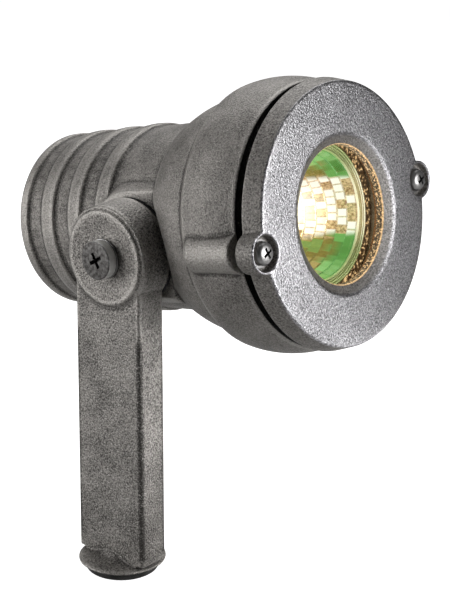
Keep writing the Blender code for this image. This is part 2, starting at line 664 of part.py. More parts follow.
def make_pivot(pivot, head, steel, nylon):
    friction = ring_outline(PIVOT_HOLE_RADIUS, FRICTION_RADIUS, PAD_FACE + GAP, ARM_INNER - GAP)
    turned("pivot_friction_washer", friction, pivot, nylon, INNER_SEGMENTS, turn=AWAY_FROM_LAMP)
    washer_low = HEAD_OUTER - DISH_DEPTH + GAP / 2
    washer_high = washer_low + 0.8
    washer = ring_outline(PIVOT_HOLE_RADIUS, PIVOT_WASHER_RADIUS, washer_low, washer_high)
    turned("pivot_washer", washer, pivot, steel, segments=28, turn=AWAY_FROM_LAMP)
    low = washer_high + GAP / 2
    high = low + PIVOT_HEAD_HEIGHT
    edge = 0.5
    outline = [
        (0, PIVOT_SHANK_END), (PIVOT_SHANK_RADIUS - 0.6, PIVOT_SHANK_END),
        (PIVOT_SHANK_RADIUS, PIVOT_SHANK_END + 0.8), (PIVOT_SHANK_RADIUS, low), (PIVOT_HEAD_RADIUS, low),
        (PIVOT_HEAD_RADIUS, high - edge), (PIVOT_HEAD_RADIUS - edge, high), (0, high),
    ]
    screw = turned("pivot_screw", outline, head, steel, segments=32, turn=AWAY_FROM_LAMP)
    cross_recess(screw, head, (0, 0), high, 3.4, 2.4, turn=AWAY_FROM_LAMP)


def make_foot(foot, dark, rubber):
    flange = PIVOT_HEIGHT + BUSH_TOP
    top = PIVOT_HEIGHT + SPIGOT_TOP
    outline = [(BOLT_HOLE_RADIUS, 0), (BUSH_RADIUS - 1.2, 0), (BUSH_RADIUS - 0.3, 0.6), (BUSH_RADIUS, 1.5),
               (BUSH_RADIUS, flange), (SPIGOT_RADIUS, flange), (SPIGOT_RADIUS, top - 0.4),
               (SPIGOT_RADIUS - 0.4, top), (BOLT_HOLE_RADIUS, top)]
    turned("foot_bush", outline, foot, dark, 36)
    turned("foot_washer", ring_outline(8.8, 12.7, flange + 0.1, flange + 0.7), foot, rubber, INNER_SEGMENTS)


def main():
    clear_scene()
    cast = finish("cast_aluminium", (0.40, 0.40, 0.39), 0.62, 0.85)
    bright = finish("bezel_aluminium", (0.62, 0.63, 0.64), 0.42, 0.9)
    steel = finish("stainless_steel", (0.62, 0.61, 0.59), 0.28, 1.0)
    dark = finish("dark_bush", (0.09, 0.09, 0.08), 0.45, 0.6)
    rubber = finish("black_rubber", (0.02, 0.02, 0.02), 0.7, 0.0)
    nylon = finish("friction_nylon", (0.30, 0.30, 0.29), 0.5, 0.0)
    glass = finish("clear_glass", (0.9, 0.95, 0.95), 0.03, 0.0, 0.3)
    coated = finish("dichroic_coating", (0.75, 0.72, 0.40), 0.15, 1.0)
    quartz = finish("quartz", (0.95, 0.95, 0.92), 0.03, 0.0, 0.35)
    hot = finish("tungsten", (1.0, 0.85, 0.55), 0.4, 1.0)
    ceramic = finish("ceramic", (0.82, 0.80, 0.75), 0.6, 0.0)
    brass = finish("brass", (0.72, 0.55, 0.25), 0.35, 1.0)
    sleeve = finish("lead_sleeve", (0.75, 0.74, 0.70), 0.8, 0.0)

    foot = empty("foot_axis", (0, 0, 0))
    pivot = empty("pivot_axis", (PIVOT_OFFSET, 0, PIVOT_HEIGHT), parent=foot)
    head = empty("head", (0, 0, 0), (math.pi / 2 - TILT_AT_REST, 0, 0), pivot)
    lamp = empty("lamp_axis", (0, AXIS_ABOVE_PIVOT, 0), parent=head)

    make_housing(head, lamp, cast)
    make_bezel(lamp, bright)
    make_bezel_screws(lamp, steel)
    make_glass(lamp, glass, rubber)
    make_lamp(lamp, steel, coated, quartz, hot, ceramic)
    make_socket(lamp, ceramic, brass, steel)
    make_leads(lamp, sleeve, brass)
    make_gland(lamp, brass, rubber)
    make_arm(pivot, cast)
    make_pivot(pivot, head, steel, nylon)
    make_foot(foot, dark, rubber)


main()
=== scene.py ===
import json
import math
import bmesh
import bpy
import numpy as np
from mathutils import Matrix, Vector


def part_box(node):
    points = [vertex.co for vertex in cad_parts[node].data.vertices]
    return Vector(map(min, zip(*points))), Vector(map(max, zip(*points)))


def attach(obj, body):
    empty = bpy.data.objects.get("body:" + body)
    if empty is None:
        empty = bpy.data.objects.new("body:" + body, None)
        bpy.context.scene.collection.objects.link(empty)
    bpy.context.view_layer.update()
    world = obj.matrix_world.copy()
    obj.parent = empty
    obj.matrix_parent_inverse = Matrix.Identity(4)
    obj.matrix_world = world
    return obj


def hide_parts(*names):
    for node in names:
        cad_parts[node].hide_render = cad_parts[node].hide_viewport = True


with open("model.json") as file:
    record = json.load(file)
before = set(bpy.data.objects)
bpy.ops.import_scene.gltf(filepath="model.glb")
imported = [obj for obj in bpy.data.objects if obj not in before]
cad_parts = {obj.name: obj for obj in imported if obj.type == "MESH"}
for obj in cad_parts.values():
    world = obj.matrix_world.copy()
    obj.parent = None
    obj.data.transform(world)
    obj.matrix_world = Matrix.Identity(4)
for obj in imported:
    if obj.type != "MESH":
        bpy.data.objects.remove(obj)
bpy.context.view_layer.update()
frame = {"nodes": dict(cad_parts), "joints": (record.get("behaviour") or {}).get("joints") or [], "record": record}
print("frame loaded")


# The two frames that every piece is drawn in, in millimetres

stance = {"tiltDegrees": 10.4, "axisAbovePivot": 5.5}
lensLow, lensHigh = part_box("lens")
tiltJoint = next(joint for joint in frame["joints"] if joint["name"] == "head_tilt")
pivot = Vector(((lensLow.x + lensHigh.x) / 2, *tiltJoint["pos_m"][1:]))
toMetres = Matrix.Scale(0.001, 4)
lean = math.radians(90 - stance["tiltDegrees"])
pivotFrame = Matrix.Translation(pivot) @ toMetres
headFrame = Matrix.Translation(pivot) @ Matrix.Rotation(lean, 4, "X") @ toMetres
lampFrame = headFrame @ Matrix.Translation((0, stance["axisAbovePivot"], 0))
outToArm = Matrix.Rotation(math.radians(-90), 4, "Y")


class Flow:
    # one output socket, so that sums and products are written as plain Python
    def __init__(self, tree, socket):
        self.tree = tree
        self.socket = socket

    def math(self, operation, *others):
        return self.tree.node("ShaderNodeMath", {"operation": operation}, [self, *others])

    def __add__(self, other):
        return self.math("ADD", other)

    def __mul__(self, other):
        return self.math("MULTIPLY", other)

    def __sub__(self, other):
        return self.math("SUBTRACT", other)

    def __truediv__(self, other):
        return self.math("DIVIDE", other)

    def __rsub__(self, other):
        return self.tree.node("ShaderNodeMath", {"operation": "SUBTRACT"}, [other, self])

    __radd__ = __add__
    __rmul__ = __mul__

    def fade(self, start, end):
        # 0 before start, 1 past end and smooth between
        ends = [start, end, 0.0, 1.0] if start < end else [end, start, 1.0, 0.0]
        return self.tree.node("ShaderNodeMapRange", {"interpolation_type": "SMOOTHSTEP"}, [self, *ends])

    def clamped(self):
        return self.math("MAXIMUM", 0.0).math("MINIMUM", 1.0)


class Tree:
    def __init__(self, group):
        self.nodes = group.nodes
        self.links = group.links

    def node(self, kind, settings=None, inputs=None, output=0):
        made = self.nodes.new(kind)
        for name, value in (settings or {}).items():
            if name == "stops":
                for place, colour in value[1:-1]:
                    made.color_ramp.elements.new(place)
                for element, (place, colour) in zip(made.color_ramp.elements, value):
                    element.position = place
                    element.color = colour
            else:
                setattr(made, name, value)
        pairs = inputs.items() if isinstance(inputs, dict) else enumerate(inputs or [])
        for name, value in pairs:
            if isinstance(value, Flow):
                self.links.new(value.socket, made.inputs[name])
            else:
                made.inputs[name].default_value = value
        return Flow(self, made.outputs[output])

    def apart(self, vector, axes=range(3)):
        return [self.node("ShaderNodeSeparateXYZ", None, [vector], axis) for axis in axes]


class Finish(Tree):
    # a Principled material
    def __init__(self, name):
        self.material = bpy.data.materials.new(name)
        self.material.use_nodes = True
        super().__init__(self.material.node_tree)
        self.shader = self.nodes["Principled BSDF"]

    def spot(self, frameMatrix=None):
        # where a point is: in the row frame, or in a piece's own millimetres
        at = self.node("ShaderNodeTexCoord", output="Object")
        if frameMatrix is None:
            return at
        place, turn, size = frameMatrix.decompose()
        inputs = {"Vector": at, "Location": place, "Rotation": turn.to_euler(), "Scale": size}
        return self.node("ShaderNodeMapping", {"vector_type": "TEXTURE"}, inputs)

    def alongLamp(self):
        # a point in the lamp's millimetres, its height and depth there, and its distance from the axis
        at = self.spot(lampFrame)
        x, y, depth = self.apart(at)
        return at, y, depth, (x * x + y * y).math("SQRT")

    def noise(self, at, scale, detail=2.0, roughness=0.5):
        inputs = {"Vector": at, "Scale": scale, "Detail": detail, "Roughness": roughness}
        return self.node("ShaderNodeTexNoise", None, inputs)

    def cells(self, at, scale, output="Distance"):
        return self.node("ShaderNodeTexVoronoi", None, {"Vector": at, "Scale": scale}, output)

    def stored(self, name):
        return self.node("ShaderNodeAttribute", {"attribute_name": name}, output="Fac")

    def blend(self, share, first, second, way="MIX"):
        settings = {"data_type": "RGBA", "blend_type": way}
        return self.node("ShaderNodeMix", settings, {0: share, 6: first, 7: second}, 2)

    def ramp(self, share, stops):
        return self.node("ShaderNodeValToRGB", {"stops": stops}, [share])

    def bump(self, height, strength, distance, under=None):
        inputs = {"Height": height, "Strength": strength, "Distance": distance}
        if under:
            inputs["Normal"] = under
        return self.node("ShaderNodeBump", None, inputs)

    def done(self, colour, rough, metallic=0.0, normal=None, glow=None, strength=1.0, others=None):
        sockets = {"Base Color": colour, "Roughness": rough, "Metallic": metallic} | (others or {})
        if normal:
            sockets["Normal"] = normal
        if glow:
            sockets |= {"Emission Color": glow, "Emission Strength": strength}
        for name, value in sockets.items():
            if isinstance(value, Flow):
                self.links.new(value.socket, self.shader.inputs[name])
            else:
                self.shader.inputs[name].default_value = value
        return self.material


class Recipe(Tree):
    # a Geometry Nodes tree
    def __init__(self, name):
        self.group = bpy.data.node_groups.new(name, "GeometryNodeTree")
        super().__init__(self.group)
        for way in ("INPUT", "OUTPUT"):
            self.group.interface.new_socket("Geometry", in_out=way, socket_type="NodeSocketGeometry")
        self.start = self.nodes.new("NodeGroupInput")
        self.end = self.nodes.new("NodeGroupOutput")

    def ask(self, kinds):
        # named inputs, in the order given
        for name, kind in kinds.items():
            self.group.interface.new_socket(name, in_out="INPUT", socket_type="NodeSocket" + kind)
        return [Flow(self, self.start.outputs[name]) for name in kinds]

    def given(self):
        return Flow(self, self.start.outputs["Geometry"])

    def store(self, geometry, name, value):
        # a value for each face
        return self.node("GeometryNodeStoreNamedAttribute", {"data_type": "FLOAT", "domain": "FACE"},
                         {"Geometry": geometry, "Name": name, "Value": value})

    def done(self, geometry, finish, index=None):
        real = self.node("GeometryNodeRealizeInstances", None, [geometry])
        inputs = {"Geometry": real, "Material": finish}
        if index is not None:
            slot = self.node("GeometryNodeInputMaterialIndex")
            equal = {"data_type": "INT", "operation": "EQUAL"}
            inputs["Selection"] = self.node("FunctionNodeCompare", equal, {2: slot, 3: index})
        painted = self.node("GeometryNodeSetMaterial", None, inputs)
        self.links.new(painted.socket, self.end.inputs[0])
        return self.group


def grey(value, alpha=1.0):
    return (value, value, value, alpha)


def addObject(name, data):
    made = bpy.data.objects.new(name, data)
    bpy.context.scene.collection.objects.link(made)
    return made


def fromBmesh(name, bm):
    bmesh.ops.recalc_face_normals(bm, faces=bm.faces)
    mesh = bpy.data.meshes.new(name)
    bm.to_mesh(mesh)
    bm.free()
    return addObject(name, mesh)


def repaint(piece, finish):
    piece.data.materials.clear()
    piece.data.materials.append(finish)


def bake(piece):
    # the piece as its modifiers leave it, as a plain mesh
    graph = bpy.context.evaluated_depsgraph_get()
    result = piece.evaluated_get(graph)
    mesh = bpy.data.meshes.new_from_object(result, preserve_all_data_layers=True, depsgraph=graph)
    piece.modifiers.clear()
    piece.data = mesh
    return piece


def outward(piece):
    bm = bmesh.new()
    bm.from_mesh(piece.data)
    bmesh.ops.recalc_face_normals(bm, faces=bm.faces)
    bm.to_mesh(piece.data)
    bm.free()
    return piece


def follow(piece, group, values):
    # runs a Geometry Nodes tree on a piece
    modifier = piece.modifiers.new(group.name, "NODES")
    modifier.node_group = group
    for item in group.interface.items_tree:
        if item.name in values:
            modifier[item.identifier] = values[item.name]
    return bake(piece)


def shade(piece, angle=35.0):
    piece.data.shade_smooth()
    piece.data.set_sharp_from_angle(angle=math.radians(angle))
    return piece


def settle(piece, place, body, nodes, angle=35.0):
    # puts a finished piece in the row frame and on its body
    piece.data.transform(place)
    if angle:
        shade(piece, angle)
    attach(piece, body)
    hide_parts(*nodes)
    return piece


# Turning: an outline of (radius, height) spun round the height axis

def turningRecipe():
    recipe = Recipe("turning")
    points, segments, finish = recipe.ask({"Outline Points": "Int", "Segments": "Int",
                                           "Finish": "Material"})
    grid = recipe.node("GeometryNodeMeshGrid", None, [1.0, 1.0, points, segments + 1.0])
    spot = recipe.node("GeometryNodeInputPosition")
    across, along = recipe.apart(spot, (0, 1))
    which = ((across + 0.5) * (points - 1.0)).math("ROUND")
    sampled = recipe.node("GeometryNodeSampleIndex", {"data_type": "FLOAT_VECTOR"},
                          {"Geometry": recipe.given(), "Value": spot, "Index": which})
    radius, height = recipe.apart(sampled, (0, 2))
    angle = (along + 0.5) * math.tau
    placed = recipe.node("ShaderNodeCombineXYZ", None,
                         [angle.math("COSINE") * radius, angle.math("SINE") * radius, height])
    spun = recipe.node("GeometryNodeSetPosition", None, {"Geometry": grid, "Position": placed})
    closed = recipe.node("GeometryNodeMergeByDistance", None, {"Geometry": spun, "Distance": 0.002})
    return recipe.done(closed, finish)


arcStep = 0.25  # radians between the points of a rounded corner


def rounded(corners):
    # turns each corner that has a third number into an arc of that radius
    points = []
    count = len(corners)
    for i, corner in enumerate(corners):
        here = Vector(corner[:2])
        radius = corner[2] if len(corner) > 2 else 0
        if not radius:
            points.append(here)
            continue
        before = (Vector(corners[i - 1][:2]) - here).normalized()
        after = (Vector(corners[(i + 1) % count][:2]) - here).normalized()
        half = before.angle(after) / 2
        middle = here + (before + after).normalized() * radius / math.sin(half)
        first = here + before * radius / math.tan(half) - middle
        last = here + after * radius / math.tan(half) - middle
        swept = first.angle(last)
        steps = max(3, round(swept / arcStep))
        for k in range(steps + 1):
            share = k / steps
            spoke = first * math.sin(swept * (1 - share)) + last * math.sin(swept * share)
            points.append(middle + spoke / math.sin(swept))
    return points


turning = turningRecipe()


def turned(name, corners, finish=None, segments=96, closed=True, turn=None, centre=(0, 0)):
    outline = rounded(corners)
    if closed:
        outline.append(outline[0])
    mesh = bpy.data.meshes.new(name)
    mesh.from_pydata([(radius, 0, height) for radius, height in outline],
                     [(i, i + 1) for i in range(len(outline) - 1)], [])
    piece = addObject(name, mesh)
    values = {"Outline Points": len(outline), "Segments": segments, "Finish": finish}
    follow(piece, turning, values)
    piece.data.transform(Matrix.Translation((*centre, 0)))
    if turn:
        piece.data.transform(turn)
    return outward(piece)


def rod(way, radius, low, high, segments=48, turn=None, centre=(0, 0)):
    # a plain cylinder that joins or cuts
    outline = [(0, low), (radius, low), (radius, high), (0, high)]
    return way, turned("rod", outline, None, segments, False, turn, centre)


def ringOutline(inner, outer, low, high, lowRound=0, highRound=0):
    return [(inner, low), (outer, low, lowRound), (outer, high, highRound), (inner, high)]


def turnedPiece(name, outline, finish, segments, slot, node, closed=True, place=lampFrame, body="head",
                turn=None):
    settle(turned(name, outline, finish, segments, closed, turn), place, body, [node])


def arc(start, end, rise, count):
    # points after start up to end, on the arc that stands this far off its chord
    chord = (Vector(end) - Vector(start)).length
    radius = (chord * chord / 4 + rise * rise) / (2 * rise)
    half = math.asin(chord / 2 / radius)
    along = (Vector(end) - Vector(start)) / chord
    points = []
    for i in range(1, count + 1):
        angle = half * (2 * i / count - 1)
        forward = radius * math.sin(angle) + chord / 2
        side = radius * math.cos(angle) - (radius - rise)
        points.append((start[0] + along.x * forward + along.y * side,
                       start[1] + along.y * forward - along.x * side))
    return points


def combine(piece, way, tool):
    modifier = piece.modifiers.new(way.lower(), "BOOLEAN")
    modifier.operation = way
    modifier.solver = "EXACT"
    modifier.object = tool
    return modifier


def work(piece, tools):
    # joins or cuts with each tool in turn, then throws the tools away
    for way, tool in tools:
        combine(piece, way, tool)
    bake(piece)
    for way, tool in tools:
        bpy.data.objects.remove(tool, do_unlink=True)
    return piece


edgePasses = 14  # smoothing passes that an edge is measured against


def castOver(piece, grain, passes, finish, keep=1.0):
    # re-skins a worked shape evenly, so that every edge and corner is softened as in a casting
    remesh = piece.modifiers.new("skin", "REMESH")
    remesh.mode = "VOXEL"
    remesh.voxel_size = grain * 1.0
    soften = piece.modifiers.new("soften", "SMOOTH")
    soften.factor = 0.5
    soften.iterations = passes
    bake(piece)
    markEdges(piece.data)
    if keep < 1.0:
        thin = piece.modifiers.new("thin", "DECIMATE")
        thin.ratio = keep
        bake(piece)
    repaint(piece, finish)
    piece.data.shade_smooth()
    return piece


def markEdges(mesh):
    # stores how far each point stands out of (+) or sits in (-) the surface round it
    count = len(mesh.vertices)
    places = np.empty(count * 3, np.float32)
    mesh.vertices.foreach_get("co", places)
    normals = np.empty(count * 3, np.float32)
    mesh.vertices.foreach_get("normal", normals)
    ends = np.empty(len(mesh.edges) * 2, np.int32)
    mesh.edges.foreach_get("vertices", ends)
    places, normals, ends = places.reshape(-1, 3), normals.reshape(-1, 3), ends.reshape(-1, 2)
    degree = np.bincount(ends.ravel(), minlength=count)
    soft = places.astype(float)
    for _ in range(edgePasses):
        axes = []
        for k in range(3):
            there = np.bincount(ends[:, 0], soft[ends[:, 1], k], count)
            back = np.bincount(ends[:, 1], soft[ends[:, 0], k], count)
            axes.append((there + back) / degree)
        soft = np.stack(axes, 1)
    relief = ((places - soft) * normals).sum(1)
    mesh.attributes.new("relief", "FLOAT", "POINT").data.foreach_set("value", relief.astype(np.float32))


# Finishes

castLook = {"dark": (0.045, 0.041, 0.037, 1), "light": (0.39, 0.37, 0.345, 1), "grainSize": 0.52,
            "mottleSize": 11.0, "roughness": 0.5, "grit": 0.7, "speckle": 2.0, "clouding": 0.9,
            "level": 0.42, "edgeLift": 0.3, "hollowDrop": 0.35, "cornerDrop": 0.0, "metallic": 0.55}
armLook = castLook | {"grainSize": 0.58, "speckle": 2.9, "clouding": 1.3, "mottleSize": 16.0,
                      "hollowDrop": 0.22, "cornerDrop": 0.75}
# painted shadow: slotShade darkens the gap behind the bezel to near black
slotShade = {"rear": 58.1, "front": 58.4, "outer": 45.3, "inner": 44.9}  # dark gap behind the bezel
barCorners = {"top": (-24.0, -30.0), "bottom": (-111.5, -109.0)}  # heights that cornerDrop fades over


def castFinish(name, look):
    # sand-cast aluminium: sharp little grains, slow cloudy patches and rubbed edges, with painted shade in its
    # hollows, along the arm bar's corners and in the gap behind the bezel
    paint = Finish(name)
    at = paint.spot()
    grains = paint.noise(at, 1000.0 / look["grainSize"], 3.0, 0.62)
    sand = paint.cells(at, 1000.0 / look["grainSize"] * 0.8)
    clouds = paint.noise(at, 1000.0 / look["mottleSize"], 4.0, 0.6)
    relief = paint.stored("relief")
    raised = relief.fade(0.015, 0.13)
    sunk = relief.fade(-0.015, -0.13)
    speckle = (grains - 0.5) * look["speckle"] + (sand - 0.45) * 0.4
    height = paint.apart(paint.spot(pivotFrame))[2]
    low = height.fade(*barCorners["top"]) * height.fade(*barCorners["bottom"])
    # edges lighter where rubbed, as wear; painted shade darkens the hollows and the arm bar's corners
    wearAndShade = raised * (look["edgeLift"] - low * look["cornerDrop"]) - sunk * look["hollowDrop"]
    tone = (speckle + (clouds - 0.5) * look["clouding"] + look["level"] + wearAndShade).clamped()
    metal = paint.blend(tone, look["dark"], look["light"])
    inLamp, y, depth, radius = paint.alongLamp()
    # painted shadow: near black over the housing's rim inside the gap behind the bezel
    slot = depth.fade(slotShade["rear"], slotShade["front"])
    slot *= radius.fade(slotShade["outer"], slotShade["inner"])
    colour = paint.blend(slot, metal, grey(0.004))
    rough = look["roughness"] + (clouds - 0.5) * 0.2 - raised * 0.12 + (grains - 0.5) * 0.2
    coarse = paint.bump(clouds, 0.25, 0.0006)
    normal = paint.bump(grains + sand * 0.6, look["grit"], 0.00035, coarse)
    return paint.done(colour, rough, look["metallic"], normal)


bezelLook = {"faceDark": (0.08, 0.078, 0.08, 1), "faceLight": (0.62, 0.61, 0.63, 1), "flake": 0.68,
             "flakes": 1.7, "fine": 1.3, "clouding": 0.4, "level": 0.42, "flareLight": 0.12,
             "flareDrop": 0.4, "glow": (1.15, 0.74, 0.34, 1), "dimLamplight": (0.03, 0.013, 0.005, 1)}
bezelSize = {"rear": 61.7, "front": 69.2, "rearRadius": 46.15, "radius": 44.45, "bore": 23.45,
             "flare": 27.45, "flareDepth": 2.55, "recess": 38.0, "floor": 63.8}


def bezelFinish():
    # coarse bright face, darker sand-cast side, painted shadow in the gap at its rear, and a painted glow of warm
    # lamplight with painted glints on the bore's wall and lip
    paint = Finish("texturedBezel")
    look = bezelLook
    front = bezelSize["front"]
    rear = bezelSize["rear"]
    rim = bezelSize["rearRadius"]
    bore = bezelSize["bore"]
    lipDepth = front - bezelSize["flareDepth"]
    at, y, depth, radius = paint.alongLamp()
    flakes = paint.noise(at, 1.0 / look["flake"], 2.0, 0.6)
    fine = paint.noise(at, 2.6, 2.0, 0.6)
    clouds = paint.noise(at, 0.09, 3.0, 0.6)
    face = depth.fade(front - 0.9, front - 0.3)
    flare = depth.fade(front - 3.2, front - 2.4)
    flare *= radius.fade(bezelSize["flare"] + 0.75, bezelSize["flare"] - 0.05)
    bright = (face + flare * look["flareLight"]).clamped()
    speckle = (flakes - 0.5) * look["flakes"] + (fine - 0.5) * look["fine"] + look["level"]
    tone = (speckle + (clouds - 0.5) * look["clouding"]).clamped() * (1.0 - flare * look["flareDrop"])
    faceColour = paint.blend(tone, look["faceDark"], look["faceLight"])
    sideColour = paint.blend(tone, castLook["dark"], castLook["light"])
    colour = paint.blend(bright, sideColour, faceColour)
    rough = 0.5 - bright * 0.14 + (fine - 0.5) * 0.15
    # painted shadow: near black at the bezel's rear edge, in the gap by the housing
    slot = depth.fade(rear + 0.3, rear + 0.1) * radius.fade(rim - 0.05, rim - 0.35)
    colour = paint.blend(slot, colour, grey(0.004))
    normal = paint.bump(flakes, 0.55, 0.0004, paint.bump(fine, 0.6, 0.0002))
    # painted lamplight: the bore's wall glows warm, with painted glints and a brighter painted line at the lip
    boreWall = radius.fade(bore + 0.75, bore + 0.25) * depth.fade(lipDepth + 0.35, lipDepth - 0.05)
    lip = radius.fade(bore + 0.75, bore + 0.35) * depth.fade(lipDepth - 0.45, lipDepth - 0.15)
    lip *= depth.fade(lipDepth + 0.45, lipDepth + 0.15)
    sparkle = flakes.fade(0.5, 0.63) * 0.75 + lip * 0.6
    warm = paint.blend(sparkle.clamped(), look["dimLamplight"], look["glow"])
    glow = paint.blend(boreWall, grey(0.0), warm)
    return paint.done(colour, rough, 0.5 + bright * 0.45, normal, glow)


def steelFinish(name, colour, roughness):
    # turned metal with a fine grain and a few smudges
    paint = Finish(name)
    at = paint.spot()
    smudge = paint.noise(at, 260.0, 3.0, 0.6)
    fine = paint.noise(at, 3200.0, 2.0, 0.7)
    tint = paint.blend(smudge * 0.5, (*colour, 1), (*[c * 0.7 for c in colour], 1))
    rough = roughness + (smudge - 0.5) * 0.12 + (fine - 0.5) * 0.1
    return paint.done(tint, rough, 1.0, paint.bump(fine, 0.12, 0.00005))


def plainFinish(name, dark, light, roughness, metallic, size, bumpDepth):
    # two tones of one material with a fine texture
    paint = Finish(name)
    at = paint.spot()
    clouds = paint.noise(at, 1000.0 / size, 4.0, 0.6)
    fine = paint.noise(at, 6000.0 / size, 2.0, 0.6)
    colour = paint.blend(clouds.fade(0.3, 0.7), (*dark, 1), (*light, 1))
    rough = roughness + (fine - 0.5) * 0.2
    return paint.done(colour, rough, metallic, paint.bump(fine, 0.4, bumpDepth))


def glassFinish(name, tint, roughness):
    # clear glass with a trace of dust
    paint = Finish(name)
    dust = paint.noise(paint.spot(), 420.0, 3.0, 0.6)
    colour = paint.blend(dust * 0.08, tint, grey(0.75))
    rough = roughness + dust.fade(0.5, 0.9) * 0.04
    return paint.done(colour, rough, others={"Transmission Weight": 1.0, "IOR": 1.48})


pivotLook = {"clean": (0.85, 0.84, 0.82, 1), "faceShade": (0.045, 0.042, 0.04, 1), "faceShadeFrom": (-51.6, -51.9)}


def pivotFinish():
    # turned steel, with painted shade darkening the outer face of its head, which is also made rougher
    paint = Finish("pivotSteel")
    across = paint.apart(paint.spot(pivotFrame))[0]
    smudge = paint.noise(paint.spot(), 700.0, 3.0, 0.6)
    # painted shade: the head's outer face goes dark, broken up by smudges
    faceShade = across.fade(*pivotLook["faceShadeFrom"]) * (0.75 + smudge * 0.4)
    colour = paint.blend(faceShade.clamped(), pivotLook["clean"], pivotLook["faceShade"])
    rough = 0.26 + faceShade * 0.2 + smudge * 0.1
    return paint.done(colour, rough, faceShade * 0.6 + 0.35, paint.bump(smudge, 0.2, 0.0001))


castGrey = castFinish("castAluminium", castLook)
armGrey = castFinish("armAluminium", armLook)
texturedBezel = bezelFinish()
stainless = steelFinish("stainlessSteel", (0.34, 0.335, 0.33), 0.4)
pivotSteel = pivotFinish()
brassTurned = steelFinish("turnedBrass", (0.78, 0.58, 0.26), 0.26)
clearGlass = glassFinish("clearGlass", (0.96, 0.98, 0.96, 1), 0.0)

# dark tone, light tone, roughness, metallic, size of the clouds in mm, depth of the bump in metres
plainLooks = {"recessShade": ((0.012, 0.012, 0.012), (0.03, 0.029, 0.028), 0.6, 0.4, 1.0, 0.00003),
              "darkBush": ((0.035, 0.035, 0.034), (0.085, 0.083, 0.08), 0.42, 0.6, 4.0, 0.00005),
              "blackRubber": ((0.012, 0.012, 0.012), (0.03, 0.03, 0.03), 0.62, 0.0, 3.0, 0.00008),
              # the friction washer's near-black tone is painted shadow along the gap between the arm's head and
              # the pad
              "nylonShadowBlack": ((0.003, 0.003, 0.003), (0.008, 0.008, 0.008), 0.75, 0.0, 3.0, 0.00006),
              "ceramic": ((0.66, 0.63, 0.56), (0.85, 0.83, 0.78), 0.6, 0.0, 3.0, 0.00006),
              "wovenSleeve": ((0.55, 0.53, 0.48), (0.85, 0.83, 0.78), 0.8, 0.0, 1.2, 0.0002)}
plain = {name: plainFinish(name, *look) for name, look in plainLooks.items()}
print("finishes made")


# Housing

ribs = {"tailEnd": -59.3, "tailRadius": 31.4, "neckFront": 12.6, "neckRadius": 34.2, "pitch": 14.6,
        "width": 7.7, "height": 1.1, "crown": 0.22, "ramp": 0.8, "endRound": 2.2, "first": -13.8, "count": 4}
bell = {"stepRear": 36.2, "stepFront": 32.6, "stepRadius": 42.6, "stepRise": 1.1, "rear": 36.3,
        "rearRadius": 46.2, "rise": 1.6, "rimFront": 58.6, "rimRadius": 45.4}
hollow = [(38.0, 54.2), (31.6, 54.2), (31.6, 50.3), (29.5, 50.3), (29.5, 20), (27.8, 17), (27.8, -54.3),
          (6.3, -54.3), (6.3, ribs["tailEnd"])]  # from the glass's seat to the cable inlet
ears = {"circle": 44.12, "angle": 5.5, "radius": 6.8, "lugRadius": 6.7, "lugRear": 37.0, "lugRound": 4.2,
        "pocketRadius": 5.9, "pocketDepth": 3.5, "hole": 2.3, "tapped": 2.05, "tappedDepth": 12}
pad = {"face": 32.9, "above": 20.5, "below": 17.0, "front": 16.0, "slope": 3.7, "spread": 2.5, "root": 24.0,
       "relief": 21.5, "boss": 6.5, "bossRoot": 20.5, "hole": 3.3}
housingSkin = {"grain": 0.5, "passes": 2, "keep": 0.4}
earTurn = math.radians(ears["angle"])
earPlaces = [(sign * ears["circle"] * math.cos(earTurn), sign * ears["circle"] * math.sin(earTurn))
             for sign in (-1, 1)]


def taper(s):
    share = (s - ribs["tailEnd"]) / (ribs["neckFront"] - ribs["tailEnd"])
    return ribs["tailRadius"] + (ribs["neckRadius"] - ribs["tailRadius"]) * share


def ribbedTail():
    # four rings stand proud of the tapered tail, and the last one is its end
    ramp = ribs["ramp"]
    high = ribs["height"]
    points = []
    for k in reversed(range(ribs["count"])):
        middle = ribs["first"] - k * ribs["pitch"]
        rear = middle - ribs["width"] / 2
        front = middle + ribs["width"] / 2
        if rear < ribs["tailEnd"]:
            points.append((taper(ribs["tailEnd"]) + high, ribs["tailEnd"], ribs["endRound"]))
        else:
            points += [(taper(rear), rear), (taper(rear) + high, rear + ramp)]
            points += [(taper(middle) + high + ribs["crown"], middle)]
        points += [(taper(front) + high, front - ramp), (taper(front), front)]
    return points + [(ribs["neckRadius"], ribs["neckFront"])]


def housingOutline():
    stepStart = (bell["stepRear"], ribs["neckFront"] + 0.8)
    bellStart = (bell["rearRadius"], bell["rear"])
    points = ribbedTail() + [stepStart]
    points += arc(stepStart, (bell["stepRadius"], bell["stepFront"]), bell["stepRise"], 14)
    points += [(bell["rearRadius"] - 1.2, bell["rear"] - 1.5), bellStart]
    points += arc(bellStart, (bell["rimRadius"], bell["rimFront"] - 0.3), bell["rise"], 16)
    points += [(bell["rimRadius"] - 0.3, bell["rimFront"]), (hollow[0][0], bell["rimFront"])]
    return points + hollow


def padOutline(spread, x):
    above = pad["above"] + spread
    below = pad["below"] + spread
    points = [(x, above, pad["front"]), (x, -below, pad["front"])]
    steps = 40
    for k in range(steps + 1):
        angle = math.pi * (0.5 + k / steps)
        reach = above if 2 * k <= steps else below
        points.append((x, math.sin(angle) * reach, math.cos(angle) * above))
    return points


def padBlock():
    # the flat that the arm bears on, in the head's own frame
    bm = bmesh.new()
    layers = padOutline(0.0, -pad["face"]) + padOutline(pad["spread"], pad["slope"] - pad["face"])
    for point in layers + padOutline(pad["spread"], -pad["root"]):
        bm.verts.new(point)
    bmesh.ops.convex_hull(bm, input=bm.verts[:])
    block = fromBmesh("padBlock", bm)
    block.data.transform(Matrix.Translation((0, -stance["axisAbovePivot"], 0)))
    return block


